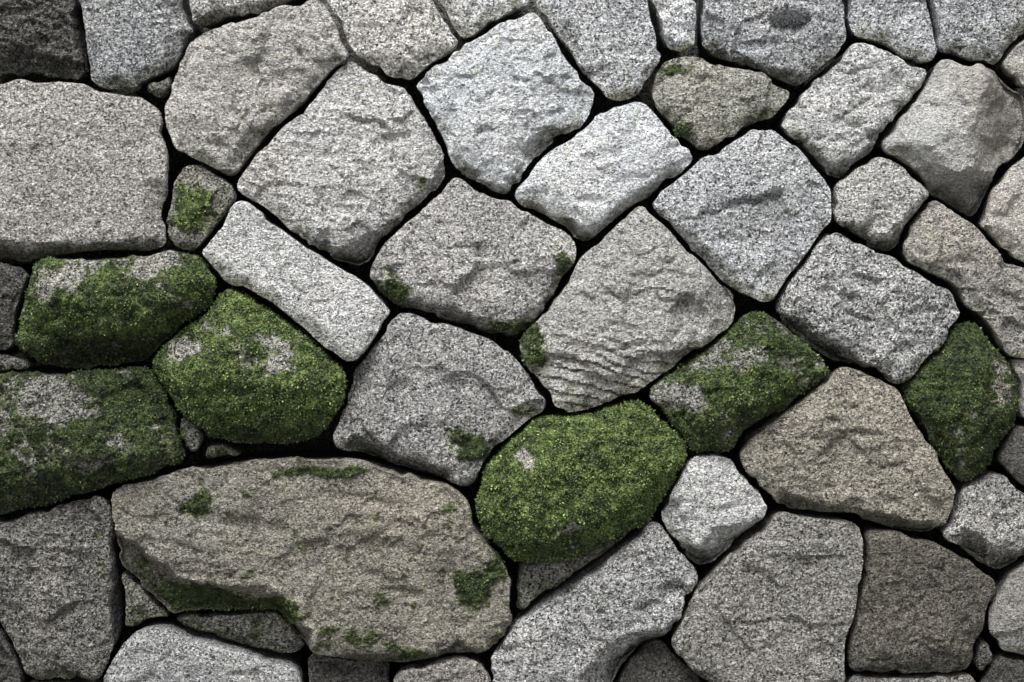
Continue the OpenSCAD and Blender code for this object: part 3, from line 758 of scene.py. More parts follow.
# Node trees
class Graph:
    """A shader or geometry tree, with short calls for the nodes that are used often."""

    def __init__(self, tree):
        self.tree = tree

    def put(self, socket, value):
        if isinstance(value, bpy.types.NodeSocket):
            self.tree.links.new(value, socket)
        elif value is not None:
            socket.default_value = value

    def add(self, kind, inputs=None, **settings):
        node = self.tree.nodes.new(kind)
        for key, value in settings.items():
            setattr(node, key, value)
        for key, value in (inputs or {}).items():
            self.put(node.inputs[key], value)
        return node

    # Numbers
    def math(self, operation, a, b=None, c=None):
        return self.add("ShaderNodeMath", {0: a, 1: b, 2: c}, operation=operation).outputs[0]

    def plus(self, a, b):
        return self.math("ADD", a, b)

    def times(self, value, *factors):
        for factor in factors:
            value = self.math("MULTIPLY", value, factor)
        return value

    def swayed(self, base, noise, reach):
        """A value moved up and down by a noise about its middle."""
        return self.math("MULTIPLY_ADD", self.math("SUBTRACT", noise, 0.5), reach, base)

    def between(self, value, low, high, to_low=0.0, to_high=1.0):
        """The value run smoothly from one range to another."""
        node = self.add("ShaderNodeMapRange", {
            "Value": value, "From Min": low, "From Max": high, "To Min": to_low, "To Max": to_high,
        }, interpolation_type="SMOOTHSTEP")
        return node.outputs["Result"]

    # Vectors
    def vector(self, operation, a, b=None, output=0):
        second = "Scale" if operation == "SCALE" else 1
        return self.add("ShaderNodeVectorMath", {0: a, second: b}, operation=operation).outputs[output]

    def shift(self, vector, offset):
        return self.vector("ADD", vector, offset)

    def stretch(self, vector, factors):
        return self.vector("MULTIPLY", vector, factors)

    def centred(self, colour):
        """A random colour as a vector that points any way."""
        return self.shift(colour, (-0.5, -0.5, -0.5))

    def apart(self, place, seed):
        """A place moved by a stone's seed, so that no two stones share a part of a pattern."""
        return self.shift(place, self.add("ShaderNodeCombineXYZ", {0: seed, 1: seed, 2: seed}).outputs[0])

    def tilted(self, normal, cells, amount):
        """A normal that leans its own way in each cell."""
        return self.shift(normal, self.vector("SCALE", self.centred(cells), amount))

    # Patterns
    def noise(self, vector, size, detail=2.0, roughness=0.5, output="Fac"):
        node = self.add("ShaderNodeTexNoise", {
            "Vector": vector, "Scale": 1 / size, "Detail": detail, "Roughness": roughness,
        })
        return node.outputs[output]

    def cells(self, vector, size, output="Distance", feature="F1"):
        node = self.add("ShaderNodeTexVoronoi", {"Vector": vector, "Scale": 1 / size}, feature=feature)
        return node.outputs[output]

    # Colours and values at points
    def mix(self, share, a, b, blend="MIX"):
        node = self.add("ShaderNodeMix", {0: share, 6: a, 7: b}, data_type="RGBA", blend_type=blend)
        return node.outputs[2]

    def dimmed(self, colour, level):
        grey = self.add("ShaderNodeCombineColor", {0: level, 1: level, 2: level}).outputs[0]
        return self.mix(1.0, colour, grey, "MULTIPLY")

    def channel(self, colour, index):
        return self.add("ShaderNodeSeparateColor", {0: colour}).outputs[index]

    def attribute(self, name):
        return self.add("ShaderNodeAttribute", attribute_name=name).outputs["Fac"]

    def stored(self, name):
        node = self.add("GeometryNodeInputNamedAttribute", {"Name": name}, data_type="FLOAT")
        return node.outputs["Attribute"]

    def store(self, geometry, name, value, domain="POINT"):
        return self.add("GeometryNodeStoreNamedAttribute", {
            "Geometry": geometry, "Name": name, "Value": value,
        }, data_type="FLOAT", domain=domain).outputs[0]

    def random(self, low, high, seed):
        """A random number for each instance."""
        return self.add("FunctionNodeRandomValue", {2: low, 3: high, "Seed": seed}).outputs[1]

    def random_vector(self, low, high, seed):
        inputs = {"Min": low, "Max": high, "Seed": seed}
        return self.add("FunctionNodeRandomValue", inputs, data_type="FLOAT_VECTOR").outputs[0]


# Granite and moss
def linear(*shades):
    """A colour given as a picture's shades of red, green and blue, from 0 to 255."""
    return tuple(((s / 255 + 0.055) / 1.055) ** 2.4 if s > 10 else s / 255 / 12.92 for s in shades) + (1,)


def new_material(name, roughness):
    material = bpy.data.materials.new(name)
    material.use_nodes = True
    shader = material.node_tree.nodes["Principled BSDF"]
    shader.inputs["Roughness"].default_value = roughness
    return material, Graph(material.node_tree), shader


class Skin:
    """The patterns of a stone's skin, which its light, its moss and its relief share."""

    def __init__(self, g):
        self.place = g.apart(g.add("ShaderNodeTexCoord").outputs["Object"], g.attribute("seed"))
        fray = g.noise(self.place, FRAY_SIZE, output="Color")
        frayed = g.shift(self.place, g.vector("SCALE", fray, FRAY))
        self.grains = g.cells(frayed, GRAIN_SIZE, "Color")
        self.crystals = g.cells(frayed, CRYSTAL_SIZE, "Color")
        self.chips = g.cells(g.stretch(frayed, (1, 1, 1.5)), CHIP_SIZE, "Color")
        self.fine = g.noise(self.place, FINE_SIZE, 2.0, 0.85)
        self.rough = g.noise(g.stretch(self.place, (1, 1, 1.4)), ROUGH_SIZE, 3.0, 0.8)
        self.hammer = g.noise(self.place, HAMMER_SIZE, 2.0, 0.7)
        self.patch = g.noise(self.place, PATCH_SIZE, 3.0, 0.7)
        self.tuft = g.noise(self.place, TUFT_SIZE, 2.0, 0.9)


def graded(g, light, bands):
    """A light times each pattern, which is run smoothly from one range to levels of dark and bright."""
    for value, low, high, dark, bright in bands:
        light = g.times(light, g.between(value, low, high, dark, bright))
    return light


def stone_light(g, skin, contrast, shade):
    """How light each grain is, with dark and pale crystals and worn patches. Hollows of the rough skin
    are darker, partly dirt and partly painted shade, and painted shade darkens the cracks, the steps of
    flaking layers and the joints.
    """
    fleck = g.channel(skin.crystals, 1)
    light = graded(g, g.math("MULTIPLY_ADD", g.channel(skin.grains, 0), 1.6, 0.4), (
        (fleck, 0.88, 0.82, 0.5, 1.0), (fleck, 0.16, 0.1, 1.0, 1.3),
        # The rough band: darker in the hollows of the skin, partly dirt and partly painted shade
        (skin.fine, 0.25, 0.75, 0.6, 1.45), (skin.rough, 0.3, 0.5, 0.76, 1.06),
    ))
    light = g.math("MULTIPLY_ADD", g.math("SUBTRACT", light, 1.0), contrast, 1.0)
    light = graded(g, g.math("MAXIMUM", light, DARKEST_GRAIN), (
        (skin.hammer, 0.3, 0.62, 0.92, 1.05), (skin.patch, 0.3, 0.7, 0.84, 1.14),
        # Painted shade: darker in cracks and under the steps of flaking layers, and darker the further a
        # point lies back in a joint
        (g.attribute("crack_and_shade"), 0.0, 1.0, 1.0, 0.25), (g.attribute("behind"), 8, 40, 1.0, 0.4),
    ))
    light = g.times(light, shade)
    return g.math("DIVIDE", g.times(light, 1 + SHOULDER), g.plus(light, SHOULDER))


def algae_and_underside_shade(g, skin):
    """Where a stone's lower edge is darkened, in ragged patches: partly an algal tint, partly painted
    shade under the stone.
    """
    low_edge = g.times(g.between(g.attribute("room"), 0, 50, 1.0, 0.0), g.attribute("under"))
    return g.between(g.swayed(low_edge, g.noise(skin.place, ALGAE_AND_SHADE_SIZE, 3.0, 0.75), 2.2), 0.2, 1.2)


def moss_light(g, algae_and_shade=0.0):
    """How light moss is: as the stone is, and darker towards the stone's lower edge, with algal staining
    and painted shade.
    """
    shade = g.between(g.attribute("shade"), 0.2, 2.2, 0.6, 2.2)
    # Painted shade: moss is up to half as light along the stone's lower edge
    return g.times(shade, g.math("MULTIPLY_ADD", algae_and_shade, -0.5, 1.0))


def moss_on_stone(g, skin, algae_and_shade):
    """The green of flat moss, from painted shade in its depths to painted highlights on the tips, darker
    towards the stone's lower edge.
    """
    clump = g.noise(skin.place, CLUMP_SIZE, 3.0, 0.75)
    green = g.mix(g.between(clump, 0.38, 0.6), linear(46, 58, 28), linear(98, 114, 60))
    green = g.mix(g.between(skin.tuft, 0.58, 0.7, 0.0, 0.7), green, linear(150, 168, 114))
    green = g.mix(g.between(skin.tuft, 0.48, 0.4, 0.0, 0.9), green, linear(12, 17, 7))
    return g.dimmed(green, moss_light(g, algae_and_shade))


def relief(g, skin, contrast, mossy):
    """The normal, with bumps that are too small for the mesh, and a lean for each chip and crystal."""
    height = g.plus(skin.hammer, g.times(skin.rough, 2.8))
    height = g.times(g.plus(height, g.times(skin.fine, 1.6)), contrast)
    height = g.plus(height, g.times(skin.tuft, mossy, 1.2))
    bump = g.add("ShaderNodeBump", {"Height": height, "Strength": 1.0, "Distance": BUMP_DISTANCE})
    normal = g.tilted(bump.outputs[0], skin.chips, g.times(contrast, CHIP_LEAN))
    return g.vector("NORMALIZE", g.tilted(normal, skin.crystals, g.times(contrast, CRYSTAL_LEAN)))


def granite(name, colour, warm, shade=None):
    """Speckled stone and its moss, with an algal tint and painted shade along the lower edges, and
    painted shade in cracks and joints. A shade is given where a mesh holds none at its points.
    """
    material, g, shader = new_material(name, 0.9)
    skin = Skin(g)
    contrast = g.attribute("grain") if shade is None else 1.0
    light = stone_light(g, skin, contrast, g.attribute("shade") if shade is None else shade)
    algae_and_shade = algae_and_underside_shade(g, skin)
    tone = g.mix(g.attribute("warmth"), linear(*colour), linear(*warm))
    tone = g.mix(g.between(skin.patch, 0.45, 0.7, 0.0, 0.4), tone, linear(*warm))
    # Along the lower edge: an algal tint, and painted shade that darkens the tone by up to two fifths
    tone = g.mix(algae_and_shade, tone, linear(122, 121, 104))
    tone = g.dimmed(tone, g.times(light, g.math("SUBTRACT", 1.0, g.times(algae_and_shade, 0.4))))
    moss = g.attribute("moss")
    mossy = g.between(g.swayed(moss, skin.rough, 1.1), 0.3, 0.62)
    film = g.between(g.swayed(moss, skin.hammer, 1.2), 0.08, 0.45, 0.0, 0.75)
    tone = g.mix(film, tone, g.mix(1.0, tone, linear(180, 198, 140), "MULTIPLY"))
    g.put(shader.inputs["Base Color"], g.mix(mossy, tone, moss_on_stone(g, skin, algae_and_shade)))
    g.put(shader.inputs["Normal"], relief(g, skin, contrast, mossy))
    return material


def moss_green():
    """The green of the standing tufts."""
    material, g, shader = new_material("moss", 0.8)
    clump = g.noise(g.add("ShaderNodeTexCoord").outputs["Object"], 0.04, 3.0, 0.7)
    tint = g.attribute("tint")
    green = g.mix(tint, linear(38, 50, 21), linear(84, 103, 47))
    bright = g.mix(tint, linear(70, 86, 40), linear(138, 156, 96))
    green = g.mix(g.between(clump, 0.52, 0.64), green, bright)
    g.put(shader.inputs["Base Color"], g.dimmed(green, moss_light(g)))
    return material


# Camera, light and floor
def look_at(obj, target):
    obj.rotation_mode = "QUATERNION"
    obj.rotation_quaternion = (Vector(target) - obj.location).to_track_quat("-Z", "Y")


def make_camera():
    camera = add_object("camera", bpy.data.cameras.new("camera"))
    camera.data.lens = LENS
    camera.data.sensor_width = SENSOR
    outward = Vector((0, -1, BATTER)).normalized()
    middle = Vector((0, -(BASE_HALF - BATTER * VIEW_MIDDLE) * MM, VIEW_MIDDLE * MM))
    camera.location = middle + outward * (VIEW_WIDTH * MM * LENS / SENSOR)
    look_at(camera, middle)
    bpy.context.scene.camera = camera


def make_lamp(name, place, power):
    lamp = add_object(name, bpy.data.lights.new(name, "AREA"))
    lamp.data.shape = "RECTANGLE"
    lamp.data.size = LAMP_WIDTH
    lamp.data.size_y = LAMP_HEIGHT
    lamp.data.energy = power
    lamp.location = place
    look_at(lamp, LAMP_AIM)


def make_light():
    make_lamp("front_light", (-1.5, -3.9, 9.0), 1300)
    make_lamp("back_light", (3.0, 7.5, 5.5), 900)
    world = bpy.data.worlds.new("studio")
    world.use_nodes = True
    g = Graph(world.node_tree)
    seen = g.add("ShaderNodeLightPath").outputs["Is Camera Ray"]
    background = world.node_tree.nodes["Background"]
    background.inputs["Color"].default_value = (0.95, 0.97, 1, 1)
    g.put(background.inputs["Strength"], g.math("MULTIPLY_ADD", seen, SKY_GLOW, SKY_LIGHT))
    bpy.context.scene.world = world
    bpy.context.scene.view_settings.view_transform = "Standard"


def make_floor():
    """A pale floor, which shows about evenly bright, and doesn't glow through the joints at the foot."""
    material, g, shader = new_material("floor", 0.5)
    seen = g.add("ShaderNodeLightPath").outputs["Is Camera Ray"]
    g.put(shader.inputs["Base Color"], g.mix(seen, linear(120, 120, 118), linear(118, 118, 116)))
    shader.inputs["Emission Color"].default_value = linear(255, 255, 252)
    place = g.add("ShaderNodeSeparateXYZ", {0: g.add("ShaderNodeTexCoord").outputs["Object"]})
    past_end, past_face = (
        g.math("GREATER_THAN", g.math("ABSOLUTE", place.outputs[axis]), half * MM)
        for axis, half in enumerate((END_X, BASE_HALF))
    )
    clear = g.math("MAXIMUM", past_end, past_face)
    g.put(shader.inputs["Emission Strength"], g.times(seen, clear, FLOOR_GLOW))
    mesh = bpy.data.meshes.new("floor")
    corners = [(-FLOOR, -FLOOR, 0), (FLOOR, -FLOOR, 0), (FLOOR, FLOOR, 0), (-FLOOR, FLOOR, 0)]
    mesh.from_pydata(corners, [], [(0, 1, 2, 3)])
    mesh.materials.append(material)
    floor = add_object("floor", mesh)


# Geometry trees
def new_tree(name, sizes):
    tree = bpy.data.node_groups.new(name, "GeometryNodeTree")
    tree.interface.new_socket("Geometry", in_out="INPUT", socket_type="NodeSocketGeometry")
    tree.interface.new_socket("Geometry", in_out="OUTPUT", socket_type="NodeSocketGeometry")
    for key in sizes:
        tree.interface.new_socket(key, in_out="INPUT", socket_type="NodeSocketFloat")
    tree.interface.new_socket("Material", in_out="INPUT", socket_type="NodeSocketMaterial")
    g = Graph(tree)
    return g, g.add("NodeGroupInput").outputs


def finished(g, sizes, geometry):
    whole = g.add("GeometryNodeRealizeInstances", {0: geometry})
    coated = g.add("GeometryNodeSetMaterial", {
        "Geometry": whole.outputs[0], "Material": sizes["Material"],
    })
    g.add("NodeGroupOutput", {0: coated.outputs[0]})
    return g.tree


def applied(obj, tree, sizes, material):
    """Runs a geometry tree on an object and keeps the result as its plain mesh."""
    modifier = obj.modifiers.new(tree.name, "NODES")
    modifier.node_group = tree
    keys = {item.name: item.identifier for item in tree.interface.items_tree if item.in_out == "INPUT"}
    for name, value in {**sizes, "Material": material}.items():
        modifier[keys[name]] = value
    graph = bpy.context.evaluated_depsgraph_get()
    made = bpy.data.meshes.new_from_object(obj.evaluated_get(graph), depsgraph=graph)
    obj.modifiers.remove(modifier)
    made.set_sharp_from_angle(angle=CREASE)
    obj.data = made
    return obj


# Broken surface
def broken_planes(g, place, strayed, stretch, size, step, softness, height):
    """Planes that lean every way, one to a cell with a ragged edge, and steps between them."""
    cell = g.add("ShaderNodeTexVoronoi", {
        "Vector": g.stretch(strayed, stretch), "Scale": 1 / size, "Smoothness": softness,
    }, feature="SMOOTH_F1")
    lean = g.centred(cell.outputs["Color"])
    away = g.vector("SUBTRACT", g.stretch(place, stretch), cell.outputs["Position"])
    across = g.vector("DOT_PRODUCT", away, lean, "Value")
    level = g.add("ShaderNodeSeparateXYZ", {0: lean}).outputs[0]
    return g.times(g.math("MULTIPLY_ADD", level, step, g.math("DIVIDE", across, size)), height)


def broken_height(g, place, strayed, sizes):
    """Waves, breaks, facets, flakes and lumps, one on the other."""
    height = g.swayed(0.0, g.noise(place, 0.12, 1.0), sizes["Wave height"])
    for stretch, size, step, softness, name in PLANES:
        planes = broken_planes(g, place, strayed, stretch, size, step, softness, sizes[name])
        height = g.plus(height, planes)
    return g.swayed(height, g.noise(strayed, 0.02, 3.0, 0.7), sizes["Lump height"])


def cracks(g, place, strayed):
    """Thin cracks, in some places only. They are sunk into the stone, and the material darkens them as
    painted shade.
    """
    away = g.cells(strayed, CRACK_SPACING, "Distance", "DISTANCE_TO_EDGE")
    crack_and_shade = g.between(away, 0, 0.035, 1.0, 0.0)
    return g.times(crack_and_shade, g.between(g.noise(place, 0.11), 0.6, 0.66), g.stored("rough"))


def flaking_layers(g, place):
    """Layers that lie over each other like shingles upside down. Each runs from 0 to 1."""
    across = (LAYER_LEAN / LAYER_PITCH, 0, 1 / LAYER_PITCH)
    rise = g.vector("DOT_PRODUCT", place, across, "Value")
    return g.math("FRACT", g.math("MULTIPLY_ADD", g.noise(place, 0.1, 4.0), 2.5, rise))


def roughening_tree():
    """Moves the points of a stone along its normals: waves, breaks, facets, flakes, pits and moss."""
    g, sizes = new_tree("broken surface", SURFACE)
    place = g.apart(g.add("GeometryNodeInputPosition").outputs[0], g.stored("seed"))
    stray = g.centred(g.noise(place, STRAY_SIZE, 4.0, 0.6, output="Color"))
    strayed = g.shift(place, g.vector("SCALE", stray, STRAY))

    crack_and_shade = cracks(g, place, strayed)
    height = broken_height(g, place, strayed, sizes)
    height = g.math("SUBTRACT", height, g.times(crack_and_shade, sizes["Crack depth"]))
    layer, layered = flaking_layers(g, place), g.stored("layers")
    depth = g.times(layered, sizes["Layer depth"])
    height = g.plus(height, g.times(g.math("SUBTRACT", 0.5, layer), depth))
    # Painted shade under the step of each flaking layer, which the material darkens along with the cracks
    crack_and_shade = g.math("MAXIMUM", crack_and_shade, g.times(g.between(layer, 0.76, 0.92), layered))
    pit = g.times(g.between(g.cells(place, 0.02), 0.0, 0.45, -1.0, 0.0), sizes["Pit depth"])
    height = g.times(g.plus(height, pit), g.stored("rough"))

    spread = g.noise(g.stretch(place, (1, 1, 1.3)), 0.06, 5.0, 0.7)
    moss = g.between(g.swayed(g.stored("moss"), spread, 1.8), 0.25, 0.75)
    pad = g.between(g.noise(place, 0.02, 3.0, 0.7), 0.3, 0.7)
    height = g.plus(height, g.times(pad, sizes["Moss thickness"], moss))

    from_rim = g.between(g.stored("room"), 0, 14, 0.45, 1.0)
    in_joint = g.between(g.stored("behind"), 30, 60)
    height = g.times(height, g.stored("fade"), g.math("MAXIMUM", from_rim, in_joint))
    offset = g.vector("SCALE", g.add("GeometryNodeInputNormal").outputs[0], height)
    geometry = g.store(sizes["Geometry"], "moss", moss)
    geometry = g.store(geometry, "crack_and_shade", crack_and_shade)
    moved = g.add("GeometryNodeSetPosition", {"Geometry": geometry, "Offset": offset})
    return finished(g, sizes, moved.outputs[0])


def tuft_tree():
    """Small pointed tufts that stand on the moss, close together."""
    g, sizes = new_tree("moss tufts", TUFTS)
    open_to_view = g.math("GREATER_THAN", g.stored("fade"), 0.9)
    spots = g.add("GeometryNodeDistributePointsOnFaces", {
        "Mesh": sizes["Geometry"], "Distance Min": sizes["Tuft spacing"],
        "Density Max": sizes["Tufts to the metre"], "Seed": 5,
        "Density Factor": g.times(g.between(g.stored("moss"), 0.55, 0.95), open_to_view),
    }, distribute_method="POISSON")
    cone = g.add("GeometryNodeMeshCone", {
        "Vertices": 3, "Radius Top": 0.0, "Radius Bottom": TUFT_RADIUS, "Depth": sizes["Tuft height"],
    })
    lean = g.random_vector((-0.9, -0.9, 0), (0.9, 0.9, FULL_TURN), 6)
    turned = g.add("FunctionNodeRotateRotation", {
        "Rotation": spots.outputs["Rotation"],
        "Rotate By": g.add("FunctionNodeEulerToRotation", {0: lean}).outputs[0],
    }, rotation_space="LOCAL")
    tufts = g.add("GeometryNodeInstanceOnPoints", {
        "Points": spots.outputs["Points"], "Instance": cone.outputs["Mesh"],
        "Rotation": turned.outputs[0], "Scale": g.random(0.5, 1.3, 7),
    })
    return finished(g, sizes, g.store(tufts.outputs[0], "tint", g.random(0.0, 1.0, 8), "INSTANCE"))


def rubble_tree():
    """Small broken stones packed on top of the hearting."""
    g, sizes = new_tree("rubble", RUBBLE)
    upward = g.add("ShaderNodeSeparateXYZ", {0: g.add("GeometryNodeInputNormal").outputs[0]}).outputs[2]
    spots = g.add("GeometryNodeDistributePointsOnFaces", {
        "Mesh": sizes["Geometry"], "Selection": g.math("GREATER_THAN", upward, 0.9),
        "Distance Min": sizes["Rubble spacing"], "Density Max": sizes["Rubble to the metre"], "Seed": 2,
    }, distribute_method="POISSON")
    ball = g.add("GeometryNodeMeshIcoSphere", {"Radius": sizes["Rubble radius"], "Subdivisions": 2})
    stones = g.add("GeometryNodeInstanceOnPoints", {
        "Points": spots.outputs["Points"], "Instance": ball.outputs["Mesh"],
        "Rotation": g.random_vector((0, 0, 0), (FULL_TURN, FULL_TURN, FULL_TURN), 3),
        "Scale": g.random_vector((0.7, 0.7, 0.5), (1.25, 1.25, 1.0), 4),
    })
    kept = g.store(stones.outputs[0], "shade", g.random(0.7, 1.7, 9), "INSTANCE")
    kept = g.store(kept, "grain", 1.0, "INSTANCE")
    whole = g.add("GeometryNodeRealizeInstances", {0: kept})
    cell = g.centred(g.cells(g.add("GeometryNodeInputPosition").outputs[0], 0.03, "Color"))
    chipped = g.add("GeometryNodeSetPosition", {
        "Geometry": whole.outputs[0], "Offset": g.vector("SCALE", cell, RUBBLE_CHIPPING),
    })
    return finished(g, sizes, chipped.outputs[0])


# Looks of the stones
def look(slot, shade=1.0, warmth=0.2, rough=0.65, wear=0.2, flat=0.55, facets=4, corners=4, dents=6,
         smooth=1, moss=0.0, bulge=0.55, grain=1.0):
    return dict(slot=slot, shade=shade, warmth=warmth, rough=rough, wear=wear, flat=flat, facets=facets,
                corners=corners, dents=dents, smooth=smooth, moss=moss, bulge=bulge, grain=grain)


PALE, COOL, WARM, BROWN = "pale_granite", "cool_granite", "warm_granite", "brown_granite"
OLIVE, MOSSY, DARK = "olive_granite", "mossy_granite", "dark_granite"
BOULDER = dict(wear=1.0, flat=0.2, facets=2, corners=0, dents=4, smooth=6, bulge=1.0, grain=1.35)
LOOKS = {
    "rough_brown_stone": look(BROWN, 0.28, 0.3, 1.0, dents=10, grain=1.4),
    "warm_grey_block": look(WARM, 1.0, 0.6, 0.65, grain=0.85),
    "blue_grey_block": look(COOL, 1.65, 0.0, 0.62, grain=0.85),
    "scooped_top_stone": look(COOL, 0.92, 0.0, 0.55, grain=1.05),
    "dressed_slab": look(PALE, 0.78, 1.0, 0.3, 0.5, 0.6, 0, 1, 2),
    "waved_grey_block": look(PALE, 1.11, 0.4, 0.62, grain=0.9),
    "long_grey_wedge": look(COOL, 2.05, 0.1, 0.4, grain=0.85),
    "olive_brown_stone": look(OLIVE, 1.1, 0.2, moss=0.1),
    "rough_light_block": look(PALE, 1.06, 0.1, 0.85, dents=10, grain=0.9),
    "ridged_block": look(WARM, 0.88, 0.4, 0.35, flat=0.0, facets=0, dents=2, bulge=0.7, grain=0.6),
    "small_grey_stone": look(WARM, 1.25, 0.2),
    "grooved_block": look(COOL, 1.35, 0.1, 0.45, grain=1.1),
    "tilted_slab": look(PALE, 1.16, 0.1, 0.25, 0.2, 0.6, 0, 0, 1, grain=0.9),
    "broad_beige_block": look(PALE, 0.87, 0.7, 0.6, moss=0.05),
    "flaky_wedge": look(WARM, 1.14, 0.4, 0.5, dents=4, grain=0.85),
    "faceted_light_block": look(PALE, 0.92, 0.3, 0.9, dents=10, grain=1.2),
    "brown_right_block": look(BROWN, 1.6, 0.3, 0.8),
    "mossy_boulder": look(MOSSY, 1.25, **BOULDER, moss=0.62),
    "mossy_round_stone": look(MOSSY, 1.8, **BOULDER, moss=0.68),
    "pale_speckled_block": look(PALE, 0.71, 0.5, 0.6, moss=0.08, grain=1.1),
    "mossy_long_stone": look(MOSSY, 1.2, **BOULDER, moss=0.57),
    "dark_mossy_stone": look(MOSSY, 0.95, **BOULDER, moss=0.62),
    "mossy_left_slab": look(MOSSY, 0.85, **BOULDER, moss=0.55),
    "bright_moss_stone": look(MOSSY, 2.0, **BOULDER, moss=0.74),
    "tan_triangle_stone": look(OLIVE, 1.1, 0.9, 0.6),
    "light_faceted_stone": look(PALE, 1.27, 0.2, grain=0.9),
    "small_right_stone": look(WARM, 1.0, 0.3, 0.6, grain=1.1),
    "great_ledge_slab": look(OLIVE, 0.79, 0.8, 0.6, dents=10, moss=0.2, grain=0.9),
    "dark_left_block": look(BROWN, 0.65, 0.2, 0.9, grain=1.25),
    "long_low_block": look(PALE, 0.95, 0.3, 0.7, grain=1.15),
    "upright_grey_block": look(WARM, 0.65, 0.7, 0.55, flat=0.7, facets=1, dents=6, grain=1.1),
    "olive_low_block": look(OLIVE, 0.36, 1.0, 0.65, flat=0.7, facets=1, dents=5),
    "light_foot_stone": look(PALE, 0.72, 0.1, 0.5, flat=0.7),
    "head_stones": look(COOL, 1.0, 0.1, 0.5, grain=1.1),
    "foot_stones": look(WARM, 0.6, 0.9),
    "pinning_stones": look(DARK, 0.8, 0.3, 0.5, 0.6, 0.2, 2, 0, 2, moss=0.3, grain=1.3),
    "left_end_stones": look(BROWN, 0.8, 0.3, grain=1.2),
    "right_end_stones": look(WARM, 0.9, 0.6, 0.4, grain=0.7),
    "back_head_stones": look(COOL, 1.0, 0.9),
    "back_upper_stones": look(WARM, 0.95, 0.2),
    "back_lower_stones": look(OLIVE, 0.8, 0.1, moss=0.25),
    "back_foot_stones": look(BROWN, 0.8, 0.4, moss=0.15),
    "end_closers": look(WARM, 0.85, 0.4, facets=2),
}

# The stones with the sharpest breaks
FEATURED = (
    "flaky_wedge", "great_ledge_slab", "ridged_block", "waved_grey_block", "blue_grey_block",
    "scooped_top_stone",
)

